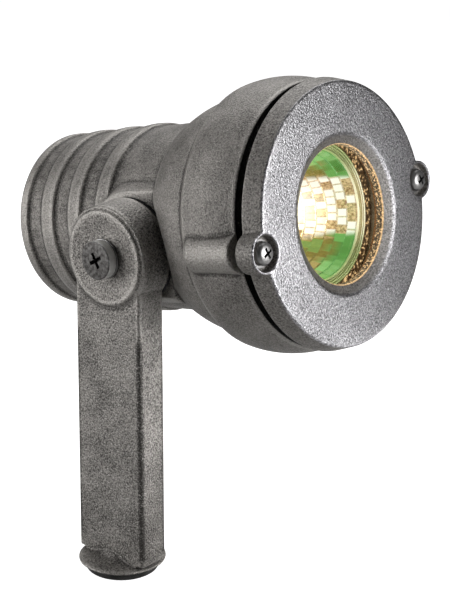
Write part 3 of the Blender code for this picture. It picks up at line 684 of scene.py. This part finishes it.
def makeHousing():
    sideways = Matrix.Translation((0, -stance["axisAbovePivot"], 0)) @ outToArm
    face = pad["face"]
    rim = bell["rimFront"]
    housing = turned("castHousing", housingOutline(), None, 144)
    lug = [(0, ears["lugRear"]), (ears["lugRadius"], ears["lugRear"], ears["lugRound"]),
           (ears["lugRadius"], rim, 0.4), (0, rim)]
    tools = [("UNION", padBlock()), rod("DIFFERENCE", pad["relief"], face + 0.3, 60, 96, sideways)]
    tools += [("UNION", turned("lug", lug, None, 40, False, None, place)) for place in earPlaces]
    tools += [rod("UNION", pad["boss"], pad["bossRoot"], face - 1.5, 40, sideways),
              rod("DIFFERENCE", *hollow[0], 66, 96),
              rod("DIFFERENCE", pad["hole"], pad["root"], face + 2, 32, sideways)]
    tools += [rod("DIFFERENCE", ears["tapped"], rim - ears["tappedDepth"], 62, 24, None, place)
              for place in earPlaces]
    work(housing, tools)
    castOver(housing, finish=castGrey, **housingSkin)
    settle(housing, lampFrame, "head", ["housing"], None)


makeHousing()
print("housing cast")


# Bezel

def makeBezel():
    size = bezelSize
    rear = size["rear"]
    front = size["front"]
    outline = [(size["rearRadius"], rear, 0.5), (size["radius"], front, 0.9), (size["flare"], front, 0.4),
               (size["bore"], front - size["flareDepth"], 0.3), (size["bore"], size["floor"]),
               (size["recess"], size["floor"]), (size["recess"], rear)]
    bezel = turned("clampBezel", outline, None, 192)
    ear = [(0, rear), (ears["radius"], rear, 0.4), (ears["radius"], front, 0.7), (0, front)]
    pocket = front - ears["pocketDepth"]
    tools = [("UNION", turned("ear", ear, None, 48, False, None, place)) for place in earPlaces]
    tools += [rod("DIFFERENCE", size["recess"], 55, size["floor"], 192)]
    tools += [rod("DIFFERENCE", ears["pocketRadius"], pocket, 75, 48, None, place)
              for place in earPlaces]
    tools += [rod("DIFFERENCE", ears["hole"], 55, 75, 32, None, place)
              for place in earPlaces]
    work(bezel, tools)
    castOver(bezel, 0.42, 2, texturedBezel)
    settle(bezel, lampFrame, "head", ["bezel"], None)


makeBezel()
print("bezel cast")


# Arm

armSize = {"inner": 34.5, "outer": 46.9, "headOuter": 48.2, "headRadius": 18.0, "headInner": 18.8,
           "halfTop": 15.1, "halfFoot": 15.8, "bottom": -112.6, "edge": 1.1, "rimOuter": 16.9,
           "rimInner": 15.4, "dishFloor": 9.5, "dish": 0.8, "collar": 15.9, "collarBottom": -114.8,
           "spigot": 8.3, "spigotTop": -113.1, "thread": 3.4, "threadTop": -88, "hole": 3.3}


def armBar():
    size = armSize
    bm = bmesh.new()
    bmesh.ops.create_cube(bm, size=1.0)
    for vert in bm.verts:
        high = vert.co.z > 0
        half = size["halfTop"] if high else size["halfFoot"]
        vert.co.y = half if vert.co.y > 0 else -half
        vert.co.x = -size["inner"] if vert.co.x > 0 else -size["outer"]
        vert.co.z = 0.0 if high else size["bottom"]
    upright = [edge for edge in bm.edges if abs(edge.verts[0].co.z - edge.verts[1].co.z) > 1]
    bmesh.ops.bevel(bm, geom=upright, offset=size["edge"], segments=6, affect="EDGES", profile=0.5)
    return fromBmesh("castArm", bm)


def makeArm():
    size = armSize
    top = size["headOuter"]
    floor = top - size["dish"]
    arm = armBar()
    inner = size["inner"] - 0.1
    head = [(0, inner), (size["headInner"], inner, 0.6), (size["headRadius"], top - 1.1, 0.4),
            (size["rimOuter"], top - 0.95), (size["rimOuter"] - 0.5, top, 0.25), (size["rimInner"], top, 0.4),
            (size["dishFloor"], floor), (0, floor)]
    low = size["collarBottom"]
    reach = size["collar"]
    collar = [(0, low), (reach, low, 0.5), (reach, low + 0.9, 0.4), (reach - 1.6, low + 1.3),
              (11.0, low + 1.8), (8.5, low + 2.7), (6.8, low + 4.2), (0, low + 4.2)]
    footAxis = (-pivot.x * 1000, 0)
    tools = [("UNION", turned("armHead", head, None, 144, False, outToArm)),
             ("UNION", turned("collar", collar, None, 96, False, None, footAxis)),
             rod("DIFFERENCE", size["spigot"], low - 1, size["spigotTop"], 49, None, footAxis),
             rod("DIFFERENCE", size["thread"], -114, size["threadTop"], 37, None, footAxis),
             rod("DIFFERENCE", size["hole"], size["inner"] - 1, top + 1, 37, outToArm)]
    work(arm, tools)
    castOver(arm, 0.4, 2, armGrey)
    settle(arm, pivotFrame, "arm", ["arm"], None)


makeArm()
print("arm cast")


# Screws and washers

def crossCutter(reach, depth):
    # the driver's cross: two tapered blades
    bm = bmesh.new()
    for turn in (0, 90):
        made = bmesh.ops.create_cube(bm, size=1.0)
        for vert in made["verts"]:
            narrow = 1.0 if vert.co.z > 0 else 0.5
            vert.co.x *= 2 * reach * narrow
            vert.co.y *= 0.46 * reach * narrow
            vert.co.z = 1.0 if vert.co.z > 0 else -depth
        bmesh.ops.rotate(bm, verts=made["verts"], cent=(0, 0, 0),
                         matrix=Matrix.Rotation(math.radians(turn), 3, "Z"))
    cutter = fromBmesh("cross", bm)
    # painted shade: the cross's walls take this near-black finish
    cutter.data.materials.append(plain["recessShade"])
    return cutter


def screwRecipe():
    # puts a finished screw or washer on every point it is given
    recipe = Recipe("fasteners")
    source, finish = recipe.ask({"Fastener": "Object", "Finish": "Material"})
    shape = recipe.node("GeometryNodeObjectInfo", None, {"Object": source}, "Geometry")
    placed = recipe.node("GeometryNodeInstanceOnPoints", None, {"Points": recipe.given(), "Instance": shape})
    return recipe.done(placed, finish, 0)


fasteners = screwRecipe()


def placeFasteners(name, source, height, nodes):
    # one at each of the bezel's ears
    mesh = bpy.data.meshes.new(name)
    mesh.from_pydata([(x, y, height) for x, y in earPlaces], [], [])
    piece = follow(addObject(name, mesh), fasteners, {"Fastener": source, "Finish": stainless})
    bpy.data.objects.remove(source, do_unlink=True)
    settle(piece, lampFrame, "head", nodes)


def cutCross(screw, size, high):
    # cuts the driver's cross into the top of a screw, and gives its walls a near-black finish as painted shade
    cutter = crossCutter(size["cross"], size["crossDepth"])
    turn = Matrix.Rotation(math.radians(size["crossTurn"]), 4, "Z")
    cutter.data.transform(Matrix.Translation((0, 0, high)) @ turn)
    modifier = combine(screw, "DIFFERENCE", cutter)
    modifier.use_self = True
    modifier.material_mode = "TRANSFER"
    bake(screw)
    bpy.data.objects.remove(cutter, do_unlink=True)


panScrew = {"head": 3.9, "height": 3.1, "lift": 0.85, "cross": 2.4, "crossDepth": 1.9, "crossTurn": 25}
smallWasher = {"inner": 2.1, "outer": 4.7, "thickness": 0.7, "lift": 0.15}


def makeBezelScrews():
    high = panScrew["height"]
    head = panScrew["head"]
    outline = [(0, -11), (1.4, -11), (1.75, -10.4), (1.75, 0), (head, 0, 0.2), (head, high - 1.7, 1.0),
               (3.1, high - 0.5, 1.5), (1.9, high - 0.06), (0, high)]
    screw = turned("panScrew", outline, stainless, 48, False)
    cutCross(screw, panScrew, high)
    washerLow = bezelSize["front"] - ears["pocketDepth"] + smallWasher["lift"]
    placeFasteners("bezelScrews", screw, washerLow + panScrew["lift"],
                   ["bezel_screw_left", "bezel_screw_right"])
    outline = ringOutline(smallWasher["inner"], smallWasher["outer"], 0, smallWasher["thickness"], 0.1, 0.15)
    placeFasteners("bezelWashers", turned("plainWasher", outline, stainless, 48), washerLow,
                   ["bezel_washer_left", "bezel_washer_right"])


pivotBolt = {"head": 6.7, "height": 3.5, "lift": 1.1, "cross": 3.4, "crossDepth": 2.4, "crossTurn": 20,
             "washer": 6.9, "friction": 18.6}


def makePivotScrew():
    head = pivotBolt["head"]
    floor = armSize["headOuter"] - armSize["dish"]
    low = floor + pivotBolt["lift"]
    high = low + pivotBolt["height"]
    outline = [(0, 25.0), (2.4, 25.0), (3.0, 25.8), (3.0, low), (head, low, 0.2), (head, high, 0.45),
               (0, high)]
    screw = turned("pivotScrew", outline, pivotSteel, 64, False)
    cutCross(screw, pivotBolt, high)
    screw.data.transform(outToArm)
    settle(screw, headFrame, "head", ["pivot_screw"])
    onArm = {"place": pivotFrame, "body": "arm", "turn": outToArm}
    outline = ringOutline(3.3, pivotBolt["washer"], floor + 0.15, floor + 0.95, 0.1, 0.2)
    turnedPiece("pivotWasher", outline, stainless, 64, "stainless", "pivot_washer", **onArm)
    outline = ringOutline(3.3, pivotBolt["friction"], 33.2, 34.2, 0.15, 0.2)
    turnedPiece("frictionWasher", outline, plain["nylonShadowBlack"], 96, "friction_nylon",
                "pivot_friction_washer", **onArm)


makeBezelScrews()
makePivotScrew()
print("screws set")


# Glass, gasket and lamp

glassSize = {"radius": 37.6, "rear": 56.8, "thickness": 5.0, "gap": 0.3, "gasket": 1.4, "gasketBore": 24.6,
             "gasketRadius": 37.2}
lamp = {"front": 55.3, "radius": 25.2, "mouth": 21.9, "neck": 27.0, "throat": 6.0, "rings": 11, "spokes": 44,
        "seed": 4, "facetSize": 0.8, "facetHeight": 0.25}


def litRubberFinish():
    # black rubber with a painted glow of the lamp's warm light on its inner edge
    paint = Finish("litRubber")
    at, y, depth, radius = paint.alongLamp()
    inner = radius.fade(glassSize["gasketBore"] + 0.8, glassSize["gasketBore"] + 0.3)
    grain = paint.noise(paint.spot(), 2600.0, 2.0, 0.6)
    warm = paint.blend(grain.fade(0.42, 0.62), (0.06, 0.022, 0.006, 1), (0.26, 0.12, 0.04, 1))
    glow = paint.blend(inner, grey(0.0), warm)
    return paint.done(paint.blend(grain, grey(0.012), grey(0.03)), 0.6, glow=glow)


def litSteelFinish():
    # bright steel with painted glints of the lamp's own light glowing on it
    paint = Finish("litSteel")
    glints = paint.noise(paint.spot(lampFrame), 0.9, 3.0, 0.65)
    warm = paint.blend(glints.fade(0.5, 0.64), (0.04, 0.018, 0.007, 1), (1.1, 0.72, 0.34, 1))
    return paint.done(paint.blend(glints, grey(0.3), grey(0.5)), 0.3, 1.0, glow=warm)


def makeGlass():
    size = glassSize
    front = size["rear"] + size["thickness"]
    outline = ringOutline(0, size["radius"], size["rear"], front, 0.5, 0.5)
    turnedPiece("frontGlass", outline, clearGlass, 128, "clear_glass", "lens", False)
    outline = [(22.9, 50.6), (31.2, 50.6), (31.2, 52.0), (26.2, 52.0), (26.2, 51.6), (22.9, 51.6)]
    turnedPiece("lampRetainer", outline, litSteelFinish(), 96, "stainless", "lamp_retainer")
    low = front + size["gap"]
    high = low + size["gasket"]
    outline = [(size["gasketBore"], low, 0.3), (size["gasketRadius"], low), (size["gasketRadius"], high),
               (size["gasketBore"], high, 0.3)]
    turnedPiece("frontGasket", outline, litRubberFinish(), 96, "black_rubber", "lens_front_gasket")


def bowlFinish():
    # a faceted mirror coated to pass heat: green and olive, with a painted reflection of the filament glowing in a
    # band across it
    paint = Finish("dichroicMirror")
    at, y, depth, radius = paint.alongLamp()
    tone = paint.stored("facet")
    edge = paint.stored("bevel")
    streak = paint.noise(at, 1.1, 3.0, 0.6)
    spread = (tone - 0.5) * 2.5
    height = y.math("ABSOLUTE")
    band = (height + spread).fade(11.0, 8.6)
    outer = (radius + spread * 0.5).fade(18.5, 20.5)
    olive = paint.blend(streak, (0.10, 0.085, 0.02, 1), (0.26, 0.21, 0.055, 1))
    green = paint.blend(tone, (0.05, 0.17, 0.035, 1), (0.15, 0.38, 0.1, 1))
    flash = tone.fade(0.8, 0.84)
    cool = paint.blend((outer + flash * 0.7).clamped(), olive, green)
    gold = paint.blend(streak.fade(0.35, 0.65), (0.26, 0.11, 0.055, 1), (0.8, 0.52, 0.31, 1))
    core = radius.fade(20.0, 12.0) * height.fade(8.0, 3.0)
    white = (tone.fade(0.34, 0.46) * (1.0 - edge * 0.7) + core).clamped()
    lit = paint.blend(core, (1.15, 1.08, 0.97, 1), (2.1, 2.05, 1.95, 1))
    hot = paint.blend(white, gold, lit)
    # painted reflection: all of this glow stands for the filament's light in the mirror, with painted flashes on
    # single facets
    glow = paint.blend(band, cool, hot)
    colour = paint.blend(outer, (0.3, 0.26, 0.12, 1), (0.16, 0.3, 0.14, 1))
    return paint.done(colour, 0.14 + streak * 0.1, 1.0, glow=glow)


def rimFinish():
    # the bowl's pressed glass rim, with a painted glow for the light behind it, brightest across the middle
    paint = Finish("lampRimGlass")
    at, y, depth, radius = paint.alongLamp()
    rings = (radius * 7.5).math("SINE").fade(-0.6, 1.0)
    side = y.math("ABSOLUTE").fade(17.0, 6.0)
    edge = paint.blend(rings, (0.1, 0.13, 0.035, 1), (0.4, 0.47, 0.19, 1))
    lit = paint.blend(rings, (0.42, 0.3, 0.12, 1), (1.25, 1.18, 0.92, 1))
    glow = paint.blend(side, edge, lit)
    colour = paint.blend(rings, (0.2, 0.22, 0.12, 1), (0.4, 0.45, 0.28, 1))
    return paint.done(colour, 0.12 + rings * 0.1, 0.2, glow=glow, strength=0.85)


def hotFinish(name, colour, strength):
    paint = Finish(name)
    flicker = paint.noise(paint.spot(), 900.0, 2.0, 0.5)
    glow = paint.blend(flicker * 0.3, colour, (*[c * 0.8 for c in colour[:3]], 1))
    return paint.done(colour, 0.3, glow=glow, strength=strength)


def bowlHeight(share):
    # the parabola, read back from its radius
    return lamp["neck"] + (lamp["front"] - 1.5 - lamp["neck"]) * share


def bowlRadius(s, throat=None):
    share = max((s - lamp["neck"]) / (lamp["front"] - 1.5 - lamp["neck"]), 0.0)
    low = lamp["throat"] if throat is None else throat
    return low + (lamp["mouth"] - low) * math.sqrt(share)


def facetRecipe():
    # parts the plain bowl's faces, staggers every other ring, and gives each one a bevel and its own tone
    recipe = Recipe("facets")
    spokes, seed, shrink, raised, finish = recipe.ask(
        {"Spokes": "Int", "Seed": "Int", "Facet Size": "Float", "Facet Height": "Float", "Finish": "Material"})
    index = recipe.node("GeometryNodeInputIndex")
    odd = (index / spokes).math("FLOOR").math("MODULO", 2.0)
    split = recipe.node("GeometryNodeSplitEdges", None, {"Mesh": recipe.store(recipe.given(), "odd", odd)})
    spot = recipe.node("GeometryNodeInputPosition")
    stagger = recipe.node("GeometryNodeInputNamedAttribute", {"data_type": "FLOAT"}, {"Name": "odd"})
    angle = stagger * math.pi / spokes
    staggered = recipe.node("ShaderNodeVectorRotate", {"rotation_type": "Z_AXIS"},
                            {"Vector": spot, "Angle": angle})
    placed = recipe.node("GeometryNodeSetPosition", None, {"Geometry": split, "Position": staggered})
    chance = recipe.node("FunctionNodeRandomValue", {"data_type": "FLOAT"},
                         {2: 0.0, 3: 1.0, "Seed": seed}, 1)
    toned = recipe.store(placed, "facet", chance)
    extrude = recipe.node("GeometryNodeExtrudeMesh", {"mode": "FACES"},
                          {"Mesh": toned, "Offset Scale": raised, "Individual": True})
    top = Flow(recipe, extrude.socket.node.outputs["Top"])
    side = Flow(recipe, extrude.socket.node.outputs["Side"])
    scaled = recipe.node("GeometryNodeScaleElements", {"domain": "FACE"},
                         {"Geometry": extrude, "Selection": top, "Scale": shrink})
    return recipe.done(recipe.store(scaled, "bevel", side), finish)


def makeBowl():
    count = lamp["rings"]
    heights = [bowlHeight((k / count) ** 1.5) for k in range(count + 1)]
    inside = [(bowlRadius(s), s) for s in heights]
    bowl = turned("lampBowl", inside, None, lamp["spokes"], False)
    bowl.data.flip_normals()
    follow(bowl, facetRecipe(), {"Spokes": lamp["spokes"], "Seed": lamp["seed"],
                                 "Facet Size": lamp["facetSize"], "Facet Height": lamp["facetHeight"],
                                 "Finish": bowlFinish()})
    mouth = lamp["mouth"] + 0.25
    wall = 1.2
    outside = [(bowlRadius(s - wall, 7.6) + wall, s - wall) for s in (45.0, 39.0, 33.0)]
    shell = [(mouth, 53.6), (mouth, 54.6), (22.6, 55.0, 0.2), (23.1, 54.5, 0.15), (23.6, 55.2, 0.2)]
    shell += [(24.1, 54.8, 0.15), (24.5, lamp["front"], 0.3), (lamp["radius"], lamp["front"], 0.5)]
    shell += [(lamp["radius"], 53.1, 0.4), (22.4, 51.0), (23.2, 49.0)] + outside
    shell += [(8.0, 25.8), (8.0, 23.5), (5.7, 23.5), (5.7, 26.6)]
    shell += [(bowlRadius(s) + 0.6, s) for s in (28.5, 33.0, 39.0, 45.0, 50.0)]
    turnedPiece("lampShell", shell, rimFinish(), 120, "dichroic_coating", "lamp_reflector")
    bowl.data.transform(lampFrame)
    bowl.data.shade_flat()
    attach(bowl, "head")


def coilRecipe():
    # a coiled wire of a given number of turns
    recipe = Recipe("coil")
    turns, radius, length, wire, finish = recipe.ask(
        {"Turns": "Float", "Coil Radius": "Float", "Coil Length": "Float", "Wire Radius": "Float",
         "Finish": "Material"})
    spiral = recipe.node("GeometryNodeCurveSpiral", None,
                         {"Resolution": 14, "Rotations": turns, "Start Radius": radius, "End Radius": radius,
                          "Height": length})
    ring = recipe.node("GeometryNodeCurvePrimitiveCircle", None, {"Resolution": 6, "Radius": wire})
    swept = recipe.node("GeometryNodeCurveToMesh", None,
                        {"Curve": spiral, "Profile Curve": ring, "Fill Caps": True})
    return recipe.done(swept, finish)


filament = {"turns": 11.0, "radius": 0.75, "length": 4.0, "wire": 0.16, "height": 37.6}


def makeFilament():
    size = filament
    coil = addObject("filamentCoil", bpy.data.meshes.new("filamentCoil"))
    follow(coil, coilRecipe(), {"Turns": size["turns"], "Coil Radius": size["radius"],
                                "Coil Length": size["length"], "Wire Radius": size["wire"],
                                "Finish": hotFinish("hotTungsten", (1.0, 0.85, 0.6, 1), 14.0)})
    across = Matrix.Rotation(math.radians(90), 4, "Y")
    coil.data.transform(Matrix.Translation((-size["length"] / 2, 0, size["height"])) @ across)
    settle(outward(coil), lampFrame, "head", ["lamp_filament"])
    outline = [(5.0, 21.0), (5.0, 41.2), (4.6, 43.0), (3.4, 44.4), (1.6, 45.1), (0, 45.3), (0, 44.4),
               (1.3, 44.2), (2.8, 43.5), (3.9, 42.4), (4.2, 41.0), (4.2, 21.0), (5.0, 21.0)]
    # painted light: the quartz capsule glows with the filament's light
    quartz = hotFinish("filamentLitQuartz", (1.0, 0.93, 0.8, 1), 2.6)
    turnedPiece("quartzCapsule", outline, quartz, 48, "quartz", "lamp_capsule", False)


makeGlass()
makeBowl()
makeFilament()
print("lamp lit")


# Cable gland and foot

def hexagon(acrossFlats, low, high):
    corner = acrossFlats / math.sqrt(3)
    bm = bmesh.new()
    ring = [bm.verts.new((corner * math.cos(math.tau * k / 6), corner * math.sin(math.tau * k / 6), low))
            for k in range(6)]
    raised = bmesh.ops.extrude_face_region(bm, geom=[bm.faces.new(ring)])
    for item in raised["geom"]:
        if isinstance(item, bmesh.types.BMVert):
            item.co.z = high
    return fromBmesh("hexagon", bm)


gland = {"flats": 17.0, "height": 4.6, "gap": 1.5, "barrel": 4.4, "nutFlats": 18.0, "nutNose": 2.6,
         "washer": 9.0}


def hexCut(name, outline, acrossFlats):
    # cuts a turned blank to a hexagon, which leaves the blank's chamfer on its corners
    heights = [point[1] for point in outline]
    block = hexagon(acrossFlats, min(heights) - 1, max(heights) + 1)
    return work(turned(name, outline, brassTurned, 72), [("INTERSECT", block)])


def makeGland():
    seat = ribs["tailEnd"] - 0.3
    high = seat - gland["gap"]
    low = high - gland["height"]
    barrelLow = low - gland["barrel"]
    corner = gland["flats"] / math.sqrt(3)
    outline = [(4.6, low), (corner - 1.0, low), (corner, low + 0.7), (corner, high - 0.7),
               (corner - 1.0, high), (4.6, high)]
    collar = hexCut("glandCollar", outline, gland["flats"])
    outline = [(5.0, barrelLow, 0.2), (7.2, barrelLow, 0.4), (7.2, low + 1), (6.0, low + 1), (6.0, -53.3),
               (4.4, -53.3), (4.4, high), (5.0, high)]
    body = work(turned("glandBody", outline, brassTurned, 72), [("UNION", collar)])
    high = low - 0.3
    low = barrelLow - gland["nutNose"]
    corner = gland["nutFlats"] / math.sqrt(3)
    outline = [(4.2, low, 0.3), (7.4, low, 1.0), (corner, low + 2.0), (corner, high - 0.6),
               (corner - 0.9, high), (7.5, high), (7.5, barrelLow - 0.3), (4.2, barrelLow - 0.3)]
    nut = hexCut("glandNut", outline, gland["nutFlats"])
    for piece, node in ((body, "gland_body"), (nut, "gland_nut")):
        repaint(piece, brassTurned)
        settle(piece, lampFrame, "head", [node])
    outline = ringOutline(6.4, gland["washer"], seat - 1.2, seat, 0.4, 0.4)
    turnedPiece("glandWasher", outline, plain["blackRubber"], 64, "black_rubber", "gland_washer")


foot = {"bore": 4.3, "radius": 13.4, "flange": 115.6, "spigot": 8.0, "spigotTop": 113.4}


def makeFoot():
    bore, radius, flange, spigot, top = foot.values()
    flange = pivot.z * 1000 - flange
    top = pivot.z * 1000 - top
    onFoot = {"place": toMetres, "body": "foot"}
    outline = [(bore, 0), (radius, 0, 1.3), (radius, flange, 0.3), (spigot, flange), (spigot, top, 0.4),
               (bore, top)]
    turnedPiece("footBush", outline, plain["darkBush"], 120, "dark_bush", "foot_bush", **onFoot)
    outline = ringOutline(8.8, 12.7, flange + 0.1, flange + 0.7, 0.2, 0.2)
    turnedPiece("footWasher", outline, plain["blackRubber"], 96, "black_rubber", "foot_washer", **onFoot)


makeGland()
makeFoot()
print("gland and foot made")


# CAD pieces that stay, each with its own finish

keptFinishes = {"stainless": stainless, "black_rubber": plain["blackRubber"], "brass": brassTurned,
                "ceramic": plain["ceramic"], "lead_sleeve": plain["wovenSleeve"]}
slots = {part["node"]: part["material_slot"] for part in frame["record"]["subparts"]}
for node, piece in frame["nodes"].items():
    if not piece.hide_render:
        repaint(piece, keptFinishes[slots[node]])
print("kept pieces finished")


# Studio

view = {"azimuth": -49.75, "elevation": 17.51, "roll": 0.47, "distance": 562.88, "right": 10.26, "up": -24.56,
        "lens": 93.31}


def towards(azimuth, elevation):
    around = math.radians(azimuth)
    above = math.radians(elevation)
    return Vector((math.sin(around) * math.cos(above), -math.cos(around) * math.cos(above), math.sin(above)))


def makeCamera():
    back = towards(view["azimuth"], view["elevation"])
    roll = math.radians(view["roll"])
    right = (-back).cross(Vector((0, 0, 1))).normalized()
    up = right.cross(-back)
    right, up = (right * math.cos(roll) + up * math.sin(roll),
                 up * math.cos(roll) - right * math.sin(roll))
    data = bpy.data.cameras.new("studioCamera")
    data.lens = view["lens"]
    data.clip_start = 0.01
    data.clip_end = 50
    camera = addObject("studioCamera", data)
    offset = (back * view["distance"] + right * view["right"] + up * view["up"]) * 0.001
    turn = Matrix((right, up, back)).transposed().to_4x4()
    camera.matrix_world = Matrix.Translation(pivot + offset) @ turn
    bpy.context.scene.camera = camera
    return back


# where each light aims, its azimuth and elevation from there, its distance, width, height, watts and spread
softBoxes = {"faceBox": ((0.02, -0.01, 0.12), (12, 8), 0.25, 0.11, 0.13, 0.56, 180),
             "armBox": ((0, -0.015, 0.06), (50, -10), 0.14, 0.05, 0.07, 0.013, 60),
             "rearBox": ((0.02, 0, 0.12), (-132, 6), 0.8, 0.7, 0.6, 6.0, 180),
             "topBox": ((0.02, 0, 0.12), (130, 55), 0.8, 0.8, 0.8, 5.4, 180)}
ambient = {"level": 0.04, "behindCamera": 0.02}


def softBox(name, target, direction, distance, width, height, power, spread):
    away = towards(*direction)
    data = bpy.data.lights.new(name, "AREA")
    data.shape = "RECTANGLE"
    data.size = width
    data.size_y = height
    data.energy = power
    data.spread = math.radians(spread)
    light = addObject(name, data)
    light.visible_camera = False
    light.location = Vector(target) + away * distance
    light.rotation_euler = away.to_track_quat("Z", "Y").to_euler()


def makeStudio(back):
    bm = bmesh.new()
    bmesh.ops.create_grid(bm, x_segments=1, y_segments=1, size=6.0)
    floor = fromBmesh("floor", bm)
    paint = Finish("paleFloor")
    tone = paint.noise(paint.spot(), 3.0)
    direct = paint.node("ShaderNodeLightPath", output="Is Camera Ray")
    colour = paint.blend(tone, grey(0.5), grey(0.54))
    glow = paint.blend(direct, grey(0.0), grey(1.0))  # pure white where the camera sees it, and no light
    repaint(floor, paint.done(colour, 0.9, glow=glow, others={"Specular IOR Level": 0.1}))
    world = bpy.data.worlds.new("studio")
    world.use_nodes = True
    bpy.context.scene.world = world
    tree = Tree(world.node_tree)
    ground = world.node_tree.nodes["Background"]
    ground.inputs["Color"].default_value = grey(1.0)
    direction = tree.node("ShaderNodeTexCoord", output="Generated")
    dot = {"operation": "DOT_PRODUCT"}
    toCamera = tree.node("ShaderNodeVectorMath", dot, [direction, back], "Value")
    level = ambient["level"] - toCamera.fade(0.35, 0.95) * ambient["behindCamera"]
    seen = tree.node("ShaderNodeLightPath", output="Is Camera Ray")
    tree.links.new(seen.math("MAXIMUM", level).socket, ground.inputs["Strength"])
    for name, values in softBoxes.items():
        softBox(name, *values)


makeStudio(makeCamera())
bpy.context.scene.view_settings.view_transform = "Standard"
print("studio lit")
